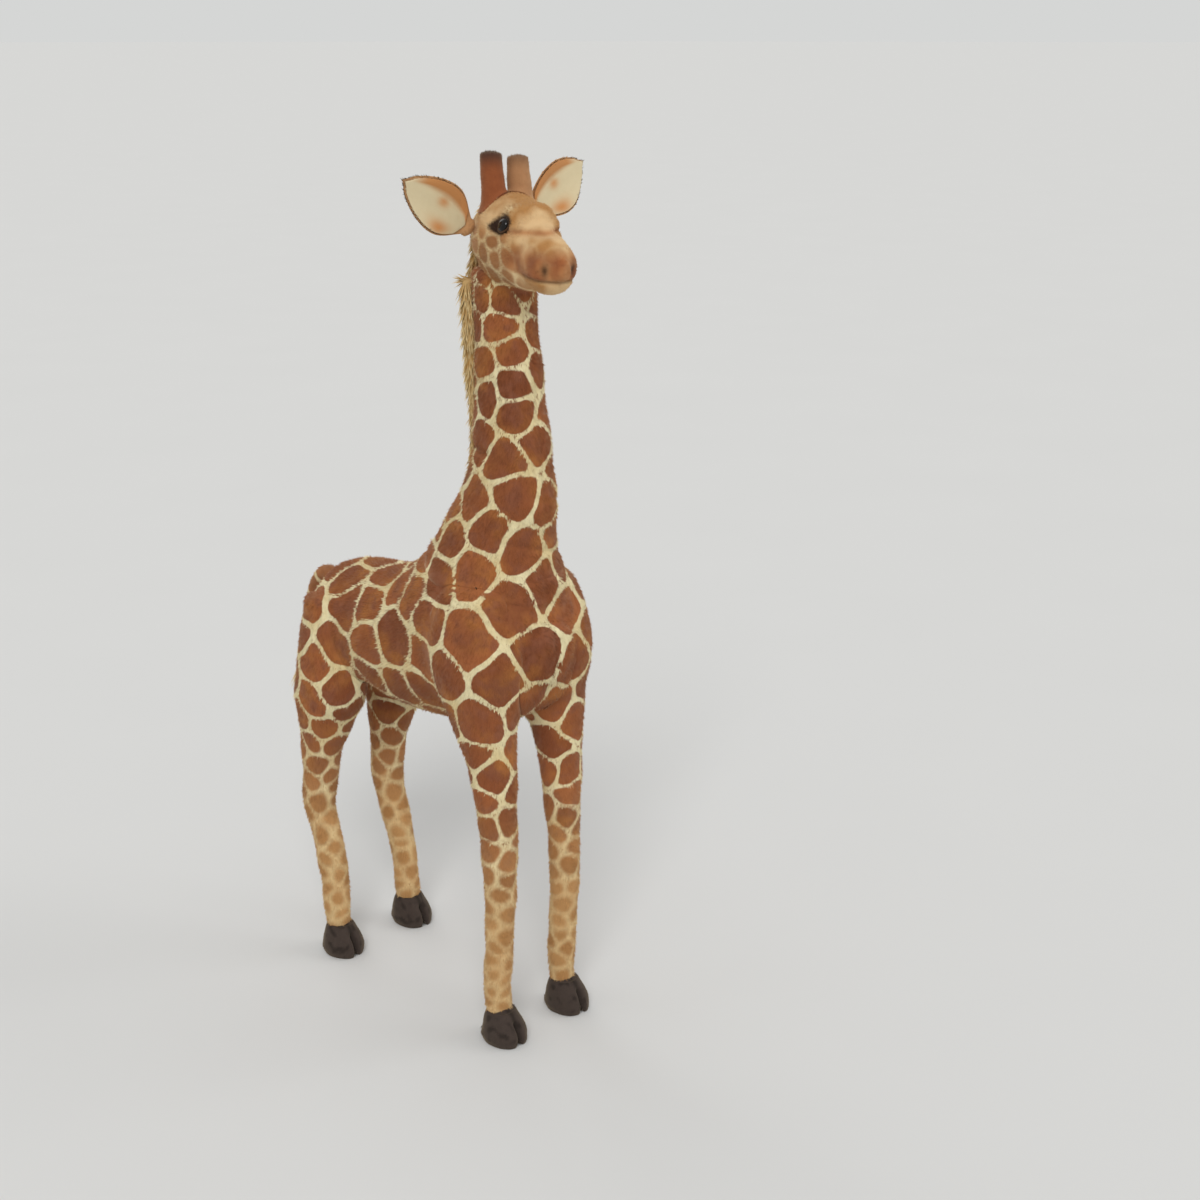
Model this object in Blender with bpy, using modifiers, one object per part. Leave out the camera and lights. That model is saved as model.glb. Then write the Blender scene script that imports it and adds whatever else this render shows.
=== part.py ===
"""Standing plush giraffe, about one metre tall, built as its separate stuffed forms and fittings.

The toy faces -Y, its left side is +X and +Z is up. It stands on z = 0, with the middle of its
length and width over the origin. Lengths are metres. Each stuffed form is plush with its filling
as one solid. A steel wire frame runs inside the trunk, neck and legs, as such a toy needs it to
stand. The head sits turned a little to the toy's right, and can turn on the top of the spine wire.
"""

import math

import bmesh
import bpy
from mathutils import Matrix, Vector

MM = 0.001

# How far the toy is moved to bring the middle of its length and width over the origin
MIDDLE_FORWARD = 7.7 * MM
MIDDLE_LEFT = 1.7 * MM

# Seams, cuts and running gaps
SEAM_GAP = 0.4 * MM
WIRE_CLEARANCE = 0.4 * MM
OVERRUN = 30 * MM
RING_SIDES = 8
SLIM_SIDES = 6
ROD_SIDES = 10
BORE_SIDES = 4
# Edges of turned pieces sharper than this stay crisp, in degrees
SHARP_ANGLE = 50
# A quarter turn from a form's left side is its deep side: the top, or the back of the neck
QUARTER = 0.25

# Trunk
TRUNK_LENGTH = 392 * MM
TRUNK_DEPTH = 168 * MM
TRUNK_WIDTH = 162 * MM
BELLY_HEIGHT = 348 * MM
RUMP_BACK = 196 * MM
# Rows: along from rump to chest, then middle height, half depth and half width
TRUNK_SHARES = (
    (0.000, 0.525, 0.150, 0.15),
    (0.035, 0.535, 0.270, 0.28),
    (0.125, 0.560, 0.385, 0.37),
    (0.390, 0.548, 0.495, 0.49),
    (0.610, 0.655, 0.600, 0.50),
    (0.745, 0.745, 0.625, 0.49),
    (0.870, 0.755, 0.545, 0.44),
    (0.965, 0.710, 0.370, 0.34),
    (1.000, 0.680, 0.190, 0.17),
)

# Neck, from inside the shoulders to the seam under the head
NECK_FOOT_HEIGHT = 500 * MM
NECK_SEAM_HEIGHT = 852 * MM
NECK_FOOT_DEPTH = 158 * MM
NECK_TOP_DEPTH = 74 * MM
NECK_FOOT_WIDTH = 124 * MM
NECK_TOP_WIDTH = 61 * MM
NECK_FOOT_FORWARD = 106 * MM
NECK_TOP_FORWARD = 127 * MM
# Rows: height up the neck, then how far place, depth and width have gone from foot to top
NECK_SHARES = (
    (0.00, 0.00, 0.00, 0.00),
    (0.14, 0.10, 0.09, 0.14),
    (0.28, 0.42, 0.20, 0.34),
    (0.40, 1.20, 0.46, 0.54),
    (0.56, 1.46, 0.77, 0.77),
    (0.90, 1.18, 0.99, 0.97),
    (1.06, 1.00, 1.00, 1.00),
)

# Head, measured from the neck's axis at the seam
HEAD_TURN = 17
HEAD_LENGTH = 118 * MM
HEAD_DEPTH = 95 * MM
HEAD_WIDTH = 76 * MM
HEAD_BACK = 30 * MM
JAW_HEIGHT = 14 * MM
NAPE_HEIGHT = 60 * MM
# Rows: height up the nape from the seam, size
NAPE_SHARES = (
    (-0.25, 1.00),
    (0.00, 1.00),
    (0.60, 0.98),
    (1.00, 0.60),
)
# Rows: along from the nape to the face, then middle height, half depth and half width
HEAD_SHARES = (
    (0.00, 0.490, 0.13, 0.15),
    (0.10, 0.480, 0.32, 0.36),
    (0.28, 0.480, 0.44, 0.47),
    (0.50, 0.490, 0.48, 0.50),
    (0.72, 0.450, 0.46, 0.46),
    (0.90, 0.400, 0.39, 0.38),
    (1.00, 0.370, 0.24, 0.22),
)
MUZZLE_LENGTH = 84 * MM
MUZZLE_DEPTH = 66 * MM
MUZZLE_WIDTH = 52 * MM
MUZZLE_REACH = 133 * MM
MUZZLE_LOW = 12 * MM
MUZZLE_SHARES = (
    (0.00, 0.650, 0.45, 0.43),
    (0.20, 0.610, 0.55, 0.52),
    (0.68, 0.475, 0.47, 0.49),
    (0.89, 0.430, 0.38, 0.42),
    (1.00, 0.410, 0.20, 0.22),
)

# Horns
# The left horn has slumped inwards and stands a little shorter
HORN_LENGTHS = {1: 57 * MM, -1: 61.3 * MM}
HORN_FOOT_WIDTH = 29 * MM
HORN_TOP_WIDTH = 24 * MM
HORN_SPACING = 30 * MM
HORN_BACK_LEAN = 3
HORN_OUT_LEANS = {1: -3, -1: 2}
HORN_ALONG_SHARE = 0.36
HORN_SUNK = 16 * MM
# Rows: along from inside the skull, width from top to foot
HORN_SHARES = (
    (0.00, 1.00),
    (0.45, 0.50),
    (0.90, 0.04),
    (1.00, -0.10),
)

# Ears, leaf-shaped and cupped, each sewn down by a rolled root
EAR_LENGTH = 94 * MM
EAR_WIDTH = 54 * MM
EAR_CUP = 9 * MM
# The cup opens and closes over this part of the leaf
EAR_CUP_SHARES = (0.15, 0.90)
EAR_BACK_WALL = 2.6 * MM
EAR_LINING_WALL = 1.8 * MM
EAR_LINING_GAP = 0.7 * MM
EAR_LINING_MARGIN = 2.4 * MM
EAR_LINING_START = 9 * MM
EAR_ROOT_WIDTH = 9 * MM
EAR_ROOT_LENGTH = 20 * MM
# The head's flats lie this far inside its true curve at the left ear and at the right one
EAR_ROOT_SINKS = {1: 0.8 * MM, -1: 1.5 * MM}
# How the left and right ears stand: rise, forward sweep, twist of the face, root's place along and round
EAR_STANDS = {1: (32, -16, 2, 0.24, 0.085), -1: (34, 8, 6, 0.30, 0.035)}
EAR_ROWS = 7
EAR_COLUMNS = 5
# Half width of the leaf at even steps from root to tip
EAR_LEAF_SHARES = (0.10, 0.25, 0.39, 0.48, 0.50, 0.46, 0.37, 0.23, 0.05)

# Eyes: a domed plastic eye on a stem, held by a washer inside the head
EYE_WIDTH = 15 * MM
EYE_DOME = 6.5 * MM
EYE_RIM = 1.4 * MM
EYE_STEM_WIDTH = 4 * MM
EYE_STEM_LENGTH = 15 * MM
EYE_PROUD = 1.2 * MM
EYE_SIDES = 12
EYE_ALONG_SHARE = 0.75
EYE_ROUND_SHARE = 0.092
WASHER_WIDTH = 13 * MM
WASHER_THICKNESS = 2 * MM
WASHER_DEPTH = 9 * MM
EYELID_THICKNESS = 3.2 * MM
EYELID_OVERHANG = 0.8 * MM
EYELID_SWEEP = 200
EYELID_POINTS = 7
EYELID_END_SHARE = 0.45

# Mane, a strip of long pile down the back of the neck
MANE_WIDTH = 58 * MM
MANE_PROUD = 9 * MM
MANE_SUNK = 12 * MM
MANE_FOOT_HEIGHT = 604 * MM
MANE_STEPS = 4
# The mane narrows to this at its foot, and reaches its full size this far up
MANE_FOOT_SHARE = 0.35
MANE_FULL_SHARE = 0.80
# Places along the top of the head that the mane runs up to, and how far it has narrowed there
POLL_ALONG_SHARES = (0.06, 0.18)
POLL_END_SHARE = 0.42
POLL_RISE_SHARE = 0.35

# Legs: each runs from the shoulder or hip to inside its hoof
SHIN_DEPTH = 34 * MM
SHIN_WIDTH = 34 * MM
FRONT_TOP_HEIGHT = 530 * MM
FRONT_TOP_FORWARD = 132 * MM
FRONT_TOP_DEPTH = 128 * MM
FRONT_TOP_WIDTH = 84 * MM
FRONT_HOOF_FORWARD = 157 * MM
FRONT_STANCE = 101 * MM
FRONT_TOP_SPREAD = 106 * MM
REAR_TOP_HEIGHT = 466 * MM
REAR_TOP_BACK = 138 * MM
REAR_TOP_DEPTH = 116 * MM
REAR_TOP_WIDTH = 80 * MM
REAR_HOOF_BACK = 142 * MM
REAR_HOCK_BACK = 32 * MM
REAR_STANCE = 112 * MM
REAR_TOP_SPREAD = 104 * MM
LEG_END_HEIGHT = 22 * MM
# Rows: height, place from hoof to top, depth and width from shin to top
FRONT_LEG_SHARES = (
    (0.00, 0.00, -0.04, -0.04),
    (0.08, 0.14, 0.00, 0.00),
    (0.32, -0.14, 0.03, 0.07),
    (0.60, 0.12, 0.18, 0.40),
    (0.75, 0.76, 0.56, 0.84),
    (0.88, 1.00, 0.92, 0.98),
    (1.00, 1.00, 0.42, 0.34),
)
# Rows: height, place from hoof to top, hock bend, depth and width from shin to top
REAR_LEG_SHARES = (
    (0.00, 0.00, 0.00, -0.04, -0.04),
    (0.08, 0.05, 0.04, 0.00, 0.00),
    (0.24, 0.33, 0.38, 0.03, 0.04),
    (0.38, 0.58, 1.00, 0.14, 0.12),
    (0.52, 0.80, 0.86, 0.22, 0.26),
    (0.66, 0.95, 0.45, 0.56, 0.64),
    (0.76, 0.92, 0.06, 0.86, 0.90),
    (1.00, 0.00, 0.00, 0.26, 0.20),
)

# Hooves, cloven at the toe and flat below
HOOF_LENGTH = 60 * MM
HOOF_WIDTH = 51 * MM
HOOF_HEIGHT = 38 * MM
HOOF_TOE_LEAD = 6 * MM
CLEFT_WIDTH = 3.6 * MM
CLEFT_LENGTH = 24 * MM
CLEFT_HEIGHT = 30 * MM
# Rows: height, lead towards the toe, half length and half width
HOOF_SHARES = (
    (-0.12, 1.00, 0.48, 0.47),
    (0.30, 0.95, 0.50, 0.50),
    (0.90, 0.10, 0.33, 0.38),
    (1.05, 0.00, 0.22, 0.26),
)

# Tail, sewn on by its root, and the tuft at its end
TAIL_ROOT_WIDTH = 20 * MM
TAIL_END_WIDTH = 13 * MM
TAIL_REACH = 56 * MM
TAIL_DROP = 124 * MM
TAIL_POINTS = 7
TAIL_ALONG_SHARE = 0.015
# The rump's flats lie this far inside its true curve at the tail
TAIL_ROOT_SINK = 1.0 * MM
TUFT_LENGTH = 74 * MM
TUFT_WIDTH = 40 * MM
TUFT_DEPTH = 30 * MM
# How far the seat's flats stand clear of the corners of the ball that turns in it
TUFT_TURN_CLEARANCE = 0.05 * MM
# Rows: back, drop
TAIL_SHARES = (
    (0.00, 0.00),
    (0.22, 0.02),
    (0.50, 0.14),
    (0.74, 0.36),
    (0.90, 0.66),
    (1.00, 1.00),
)
# Rows: down the tuft, half size
TUFT_SHARES = (
    (-0.08, 0.16),
    (0.00, 0.24),
    (0.22, 0.42),
    (0.52, 0.50),
    (0.80, 0.38),
    (1.00, 0.12),
)

# Wire frame inside
WIRE_WIDTH = 4 * MM
TAIL_WIRE_WIDTH = 2 * MM
SPINE_HEIGHT = 440 * MM
SPINE_BACK = 150 * MM
SPINE_TOP_HEIGHT = 916 * MM
SPINE_POINTS = 16
# Rows: how far forward of the front binding to the neck, and height up the neck
SPINE_RISE_SHARES = (
    (0.58, -0.06),
    (0.82, 0.10),
    (0.94, 0.26),
    (1.00, 0.48),
)
BINDING_LENGTH = 14 * MM
BINDING_WALL = 1 * MM
FRONT_BINDING_FORWARD = 16 * MM
REAR_BINDING_BACK = 92 * MM
SPLICE_LENGTH = 30 * MM
FOOT_LENGTH = 22 * MM
FOOT_HEIGHT = 10 * MM
LEG_WIRE_POINTS = 12
# Where a leg wire eases off the spine wire, in splices, and where it bends towards the leg
EASE_SHARE = 1.8
BEND_SHARES = (0.60, 0.50, 0.10)

PLUSH_BROWN = (0.36, 0.13, 0.05)
PLUSH_TAN = (0.62, 0.40, 0.19)
PLUSH_CREAM = (0.72, 0.58, 0.36)
HORN_BROWN = (0.28, 0.09, 0.04)
HOOF_BROWN = (0.045, 0.030, 0.026)
MANE_BROWN = (0.30, 0.15, 0.05)
EYE_BLACK = (0.010, 0.008, 0.008)
LID_BROWN = (0.05, 0.03, 0.025)
WASHER_WHITE = (0.75, 0.75, 0.72)
STEEL = (0.42, 0.42, 0.43)
TAPE_GREY = (0.55, 0.55, 0.52)
PILE_ROUGHNESS = 0.95
PLASTIC_ROUGHNESS = 0.12
STEEL_ROUGHNESS = 0.35


def at(forward, left, up):
    """A place given as the toy would say it: forward, to its left, and up."""
    return Vector((left, -forward, up))


def between(low, high, share):
    return low + (high - low) * share


def clear_scene():
    for item in list(bpy.data.objects):
        bpy.data.objects.remove(item)


def new_collection(name):
    made = bpy.data.collections.new(name)
    bpy.context.scene.collection.children.link(made)
    return made


def finish(name, colour, roughness, metallic=0.0):
    """A plain surface finish."""
    made = bpy.data.materials.new(name)
    made.use_nodes = True
    shader = made.node_tree.nodes["Principled BSDF"]
    shader.inputs["Base Color"].default_value = (*colour, 1.0)
    shader.inputs["Roughness"].default_value = roughness
    shader.inputs["Metallic"].default_value = metallic
    return made


class Workshop:
    """The two collections, the finishes and the empties that carry moving pieces."""

    def __init__(self):
        self.parts = new_collection("plush_giraffe")
        self.cutters = new_collection("cutters")
        self.rest_places = {}
        self.plush = finish("plush_brown", PLUSH_BROWN, PILE_ROUGHNESS)
        self.tan = finish("plush_tan", PLUSH_TAN, PILE_ROUGHNESS)
        self.cream = finish("plush_cream", PLUSH_CREAM, PILE_ROUGHNESS)
        self.horn = finish("plush_horn", HORN_BROWN, PILE_ROUGHNESS)
        self.hoof = finish("plush_hoof", HOOF_BROWN, PILE_ROUGHNESS)
        self.mane = finish("long_pile", MANE_BROWN, PILE_ROUGHNESS)
        self.eye = finish("eye_plastic", EYE_BLACK, PLASTIC_ROUGHNESS)
        self.lid = finish("eyelid_plush", LID_BROWN, PILE_ROUGHNESS)
        self.washer = finish("washer_plastic", WASHER_WHITE, PLASTIC_ROUGHNESS)
        self.steel = finish("steel_wire", STEEL, STEEL_ROUGHNESS, 1.0)
        self.tape = finish("binding_tape", TAPE_GREY, PILE_ROUGHNESS)

    def place(self, item, carrier=None, cutter=False):
        """Puts an object modelled in the toy's own frame into its collection and on its carrier."""
        (self.cutters if cutter else self.parts).objects.link(item)
        item.hide_render = cutter
        item.display_type = "WIRE" if cutter else "TEXTURED"
        if carrier is not None:
            item.parent = carrier
            item.location = -self.rest_places[carrier.name]
        return item

    def carrier(self, name, place, parent=None):
        """An empty on a joint's axis. Pieces on it keep their coordinates in the toy's own frame."""
        made = bpy.data.objects.new(name, None)
        self.parts.objects.link(made)
        made.location = place
        self.rest_places[made.name] = place
        if parent is not None:
            made.parent = parent
            made.location = place - self.rest_places[parent.name]
        return made


def new_object(name, mesh, material):
    made = bpy.data.objects.new(name, mesh)
    if material is not None:
        made.data.materials.append(material)
    return made


def subdivide(item):
    """Rounds a cage, and splits its faces one way so that a form and its seat stay parallel."""
    modifier = item.modifiers.new("round", "SUBSURF")
    modifier.levels = 1
    modifier.render_levels = 1
    split = item.modifiers.new("split", "TRIANGULATE")
    split.quad_method = "FIXED"


def boolean(item, other, operation="DIFFERENCE"):
    modifier = item.modifiers.new(operation.lower(), "BOOLEAN")
    modifier.operation = operation
    modifier.object = other


def ring_axes(stations):
    """For each station, the axis to the left and the deep axis, both square to the path."""
    centres = [centre for centre, _, _ in stations]
    axes = []
    for index in range(len(centres)):
        before = centres[max(index - 1, 0)]
        after = centres[min(index + 1, len(centres) - 1)]
        along = (after - before).normalized()
        side = Vector((1, 0, 0))
        side = (side - along * side.dot(along)).normalized()
        axes.append((side, along.cross(side), along))
    return axes


def grown(stations, amount):
    """The same stations with each ring larger and each end further out by amount."""
    axes = ring_axes(stations)
    out = [[centre, side + amount, deep + amount] for centre, side, deep in stations]
    out[0][0] = out[0][0] - axes[0][2] * amount
    out[-1][0] = out[-1][0] + axes[-1][2] * amount
    return out


def stuffed_mesh(name, stations, sides):
    """A cage of oval rings along a path, closed at both ends, for Subdivision Surface to round.

    The surface falls inside its cage by a known share, which each ring is enlarged by.
    """
    swell = 3 / (2 + math.cos(math.tau / sides))
    shape = bmesh.new()
    rings = []
    for (centre, half_side, half_deep), (side, deep, _) in zip(stations, ring_axes(stations)):
        ring = []
        for step in range(sides):
            turn = math.tau * step / sides
            reach = side * (math.cos(turn) * half_side) + deep * (math.sin(turn) * half_deep)
            ring.append(shape.verts.new(centre + reach * swell))
        rings.append(ring)
    for low, high in zip(rings, rings[1:]):
        for step in range(sides):
            after = (step + 1) % sides
            shape.faces.new((low[step], low[after], high[after], high[step]))
    shape.faces.new(rings[0])
    shape.faces.new(rings[-1])
    bmesh.ops.recalc_face_normals(shape, faces=shape.faces)
    mesh = bpy.data.meshes.new(name)
    shape.to_mesh(mesh)
    shape.free()
    mesh.shade_smooth()
    return mesh


def stuffed(name, stations, material=None, sides=RING_SIDES):
    made = new_object(name, stuffed_mesh(name, stations, sides), material)
    subdivide(made)
    return made


def surface_spot(stations, along_share, round_share):
    """A place on a stuffed form, and the way out of it.

    along_share runs from the first ring to the last by distance, and round_share is the part of a
    turn from the form's left side.
    """
    centres = [centre for centre, _, _ in stations]
    runs = [(b - a).length for a, b in zip(centres, centres[1:])]
    left = along_share * sum(runs)
    index = 0
    while index < len(runs) - 1 and left > runs[index]:
        left -= runs[index]
        index += 1
    share = left / runs[index]
    axes = ring_axes(stations)
    side = axes[index][0].lerp(axes[index + 1][0], share).normalized()
    deep = axes[index][1].lerp(axes[index + 1][1], share).normalized()
    centre = centres[index].lerp(centres[index + 1], share)
    half_side = between(stations[index][1], stations[index + 1][1], share)
    half_deep = between(stations[index][2], stations[index + 1][2], share)
    turn = math.tau * round_share
    reach = side * (math.cos(turn) * half_side) + deep * (math.sin(turn) * half_deep)
    out = side * (math.cos(turn) / half_side) + deep * (math.sin(turn) / half_deep)
    return centre + reach, out.normalized()


def box(name, low, high):
    """A box between two corners, from Blender's cube."""
    shape = bmesh.new()
    bmesh.ops.create_cube(shape, size=1.0)
    size = high - low
    for point in shape.verts:
        point.co = Vector((point.co[i] * size[i] for i in range(3))) + (low + high) / 2
    mesh = bpy.data.meshes.new(name)
    shape.to_mesh(mesh)
    shape.free()
    return new_object(name, mesh, None)


def turned_matrix(place, axis):
    """Carries the z axis to the given axis, and the origin to place."""
    return Matrix.Translation(place) @ axis.to_track_quat("Z", "Y").to_matrix().to_4x4()


def ball(name, place, radius):
    """A round ball, from Blender's sphere."""
    shape = bmesh.new()
    bmesh.ops.create_uvsphere(
        shape,
        u_segments=ROD_SIDES,
        v_segments=ROD_SIDES // 2,
        radius=radius,
        matrix=Matrix.Translation(place),
    )
    mesh = bpy.data.meshes.new(name)
    shape.to_mesh(mesh)
    shape.free()
    return new_object(name, mesh, None)


def rod(name, start, end, radius, material=None):
    """A round bar between two points, from Blender's cone."""
    shape = bmesh.new()
    bmesh.ops.create_cone(
        shape,
        cap_ends=True,
        segments=ROD_SIDES,
        radius1=radius,
        radius2=radius,
        depth=(end - start).length,
        matrix=turned_matrix((start + end) / 2, end - start),
    )
    mesh = bpy.data.meshes.new(name)
    shape.to_mesh(mesh)
    shape.free()
    made = new_object(name, mesh, material)
    made.data.shade_smooth()
    made.data.set_sharp_from_angle(angle=math.radians(SHARP_ANGLE))
    return made


def smooth_route(knots, count):
    """Evenly numbered points on a Catmull-Rom curve through the knots."""
    ends = [knots[0] * 2 - knots[1], *knots, knots[-1] * 2 - knots[-2]]
    spans = len(knots) - 1
    points = []
    for step in range(count):
        place = spans * step / (count - 1)
        index = min(int(place), spans - 1)
        t = place - index
        a, b, c, d = ends[index : index + 4]
        bow = a * 2 - b * 5 + c * 4 - d
        swing = b * 3 - a - c * 3 + d
        points.append((b * 2 + (c - a) * t + bow * t**2 + swing * t**3) / 2)
    return points


def tube_mesh(name, points, radii, resolution=1):
    """A tube along points, from a curve with a bevel and filled caps, made a welded mesh."""
    data = bpy.data.curves.new(name, "CURVE")
    data.dimensions = "3D"
    data.bevel_depth = 1.0
    data.bevel_resolution = resolution
    data.use_fill_caps = True
    line = data.splines.new("POLY")
    line.points.add(len(points) - 1)
    for knot, place, radius in zip(line.points, points, radii):
        knot.co = (*place, 1.0)
        knot.radius = radius
    guide = bpy.data.objects.new(name + "_guide", data)
    bpy.context.scene.collection.objects.link(guide)
    graph = bpy.context.evaluated_depsgraph_get()
    mesh = bpy.data.meshes.new_from_object(guide.evaluated_get(graph))
    bpy.data.objects.remove(guide)
    shape = bmesh.new()
    shape.from_mesh(mesh)
    bmesh.ops.remove_doubles(shape, verts=shape.verts, dist=min(radii) / 100)
    bmesh.ops.recalc_face_normals(shape, faces=shape.faces)
    shape.to_mesh(mesh)
    shape.free()
    mesh.name = name
    mesh.shade_smooth()
    return mesh


def tube(name, points, radius, material=None):
    return new_object(name, tube_mesh(name, points, [radius] * len(points)), material)


def longer(route):
    """The same route with each end moved out by the clearance."""
    start = route[0] + (route[0] - route[1]).normalized() * WIRE_CLEARANCE
    end = route[-1] + (route[-1] - route[-2]).normalized() * WIRE_CLEARANCE
    return [start, *route[1:-1], end]


def bore(name, points, radius):
    """A square passage for a round bar, with the clearance at its flats."""
    corner = (radius + WIRE_CLEARANCE) / math.cos(math.pi / BORE_SIDES)
    return new_object(name, tube_mesh(name, points, [corner] * len(points), 0), None)


def trunk_stations():
    stations = []
    for along, middle, half_deep, half_side in TRUNK_SHARES:
        centre = at(TRUNK_LENGTH * along - RUMP_BACK, 0, BELLY_HEIGHT + TRUNK_DEPTH * middle)
        stations.append((centre, TRUNK_WIDTH * half_side, TRUNK_DEPTH * half_deep))
    return stations


def neck_stations():
    stations = []
    for up, place, deep, side in NECK_SHARES:
        centre = at(
            between(NECK_FOOT_FORWARD, NECK_TOP_FORWARD, place),
            0,
            between(NECK_FOOT_HEIGHT, NECK_SEAM_HEIGHT, up),
        )
        half_side = between(NECK_FOOT_WIDTH, NECK_TOP_WIDTH, side) / 2
        stations.append((centre, half_side, between(NECK_FOOT_DEPTH, NECK_TOP_DEPTH, deep) / 2))
    return stations


def head_stations():
    stations = []
    back = NECK_TOP_FORWARD - HEAD_BACK
    for along, middle, half_deep, half_side in HEAD_SHARES:
        height = NECK_SEAM_HEIGHT + JAW_HEIGHT + HEAD_DEPTH * middle
        centre = at(back + HEAD_LENGTH * along, 0, height)
        stations.append((centre, HEAD_WIDTH * half_side, HEAD_DEPTH * half_deep))
    return stations


def muzzle_stations():
    stations = []
    back = NECK_TOP_FORWARD + MUZZLE_REACH - MUZZLE_LENGTH
    for along, middle, half_deep, half_side in MUZZLE_SHARES:
        height = NECK_SEAM_HEIGHT + MUZZLE_LOW + MUZZLE_DEPTH * middle
        centre = at(back + MUZZLE_LENGTH * along, 0, height)
        stations.append((centre, MUZZLE_WIDTH * half_side, MUZZLE_DEPTH * half_deep))
    return stations


def nape_stations():
    """The short piece of neck that belongs to the head and ends inside the skull."""
    stations = []
    for up, size in NAPE_SHARES:
        centre = at(NECK_TOP_FORWARD, 0, NECK_SEAM_HEIGHT + NAPE_HEIGHT * up)
        stations.append((centre, NECK_TOP_WIDTH * size / 2, NECK_TOP_DEPTH * size / 2))
    return stations


def front_leg_stations(side):
    stations = []
    for up, place, deep, wide in FRONT_LEG_SHARES:
        centre = at(
            between(FRONT_HOOF_FORWARD, FRONT_TOP_FORWARD, place),
            side * between(FRONT_STANCE, FRONT_TOP_SPREAD, place) / 2,
            between(LEG_END_HEIGHT, FRONT_TOP_HEIGHT, up),
        )
        half_side = between(SHIN_WIDTH, FRONT_TOP_WIDTH, wide) / 2
        stations.append((centre, half_side, between(SHIN_DEPTH, FRONT_TOP_DEPTH, deep) / 2))
    return stations


def rear_leg_stations(side):
    stations = []
    for up, place, bend, deep, wide in REAR_LEG_SHARES:
        centre = at(
            -between(REAR_HOOF_BACK, REAR_TOP_BACK, place) - REAR_HOCK_BACK * bend,
            side * between(REAR_STANCE, REAR_TOP_SPREAD, place) / 2,
            between(LEG_END_HEIGHT, REAR_TOP_HEIGHT, up),
        )
        half_side = between(SHIN_WIDTH, REAR_TOP_WIDTH, wide) / 2
        stations.append((centre, half_side, between(SHIN_DEPTH, REAR_TOP_DEPTH, deep) / 2))
    return stations


def spine_route():
    """Along the back, up through the shoulders and neck, and straight up into the head."""
    splice = SPLICE_LENGTH / 2
    run = NECK_TOP_FORWARD - FRONT_BINDING_FORWARD
    rise = NECK_SEAM_HEIGHT - NECK_FOOT_HEIGHT
    knots = [
        at(-SPINE_BACK, 0, SPINE_HEIGHT),
        at(-REAR_BINDING_BACK - splice, 0, SPINE_HEIGHT),
        at(-REAR_BINDING_BACK + splice, 0, SPINE_HEIGHT),
        at(FRONT_BINDING_FORWARD - splice, 0, SPINE_HEIGHT),
        at(FRONT_BINDING_FORWARD, 0, SPINE_HEIGHT),
        at(FRONT_BINDING_FORWARD + splice, 0, SPINE_HEIGHT),
        at(FRONT_BINDING_FORWARD + SPLICE_LENGTH, 0, SPINE_HEIGHT),
    ]
    for along, up in SPINE_RISE_SHARES:
        knots.append(at(FRONT_BINDING_FORWARD + run * along, 0, NECK_FOOT_HEIGHT + rise * up))
    route = smooth_route(knots, SPINE_POINTS)
    route.append(at(NECK_TOP_FORWARD, 0, SPINE_TOP_HEIGHT))
    return route


def leg_wire_route(stations, binding_forward, reach):
    """From beside the spine wire, out to the leg, down its middle and forward into the hoof."""
    side = 1 if stations[0][0].x > 0 else -1
    beside = side * (WIRE_WIDTH + SEAM_GAP)
    middle = len(stations)
    splice = SPLICE_LENGTH / 2 * reach
    down = [centre for centre, _, _ in reversed(stations[1 : middle - 3])]
    shoulder = down[0]
    foot = stations[0][0]
    ahead, out, up = BEND_SHARES
    knots = [
        at(binding_forward - splice, beside, SPINE_HEIGHT),
        at(binding_forward, beside, SPINE_HEIGHT),
        at(binding_forward + splice, beside, SPINE_HEIGHT),
        at(binding_forward + splice * EASE_SHARE, beside + side * WIRE_WIDTH / 2, SPINE_HEIGHT),
        at(
            between(binding_forward + splice, -shoulder.y, ahead),
            between(beside, shoulder.x, out),
            between(SPINE_HEIGHT, shoulder.z, up),
        ),
        *down,
        Vector((foot.x, foot.y, (FOOT_HEIGHT + foot.z) / 2)),
        Vector((foot.x, foot.y - FOOT_LENGTH / 2, FOOT_HEIGHT)),
        Vector((foot.x, foot.y - FOOT_LENGTH, FOOT_HEIGHT)),
    ]
    return smooth_route(knots, LEG_WIRE_POINTS)


def make_spine(shop):
    """The wire along the back and neck, and the bore that it lies in."""
    route = spine_route()
    shop.place(tube("spine_wire", route, WIRE_WIDTH / 2, shop.steel))
    return shop.place(bore("spine_bore", longer(route), WIRE_WIDTH / 2), cutter=True)


def make_binding(shop, name, forward):
    """A band of tape round the spine wire and the two leg wires beside it, and its pocket."""
    half_wide = WIRE_WIDTH * 1.5 + SEAM_GAP * 2
    half_high = WIRE_WIDTH / 2 + SEAM_GAP
    reach = at(BINDING_LENGTH / 2, half_wide + BINDING_WALL, half_high + BINDING_WALL)
    centre = at(forward, 0, SPINE_HEIGHT)
    reach.y = abs(reach.y)
    band = box(name, centre - reach, centre + reach)
    band.data.materials.append(shop.tape)
    hollow = Vector((half_wide, BINDING_LENGTH, half_high))
    window = shop.place(box(name + "_window", centre - hollow, centre + hollow), cutter=True)
    boolean(band, window)
    shop.place(band)
    room = reach + Vector((SEAM_GAP, SEAM_GAP, SEAM_GAP))
    room.y = SPLICE_LENGTH / 2 + WIRE_WIDTH
    return shop.place(box(name + "_pocket", centre - room, centre + room), cutter=True)


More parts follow.
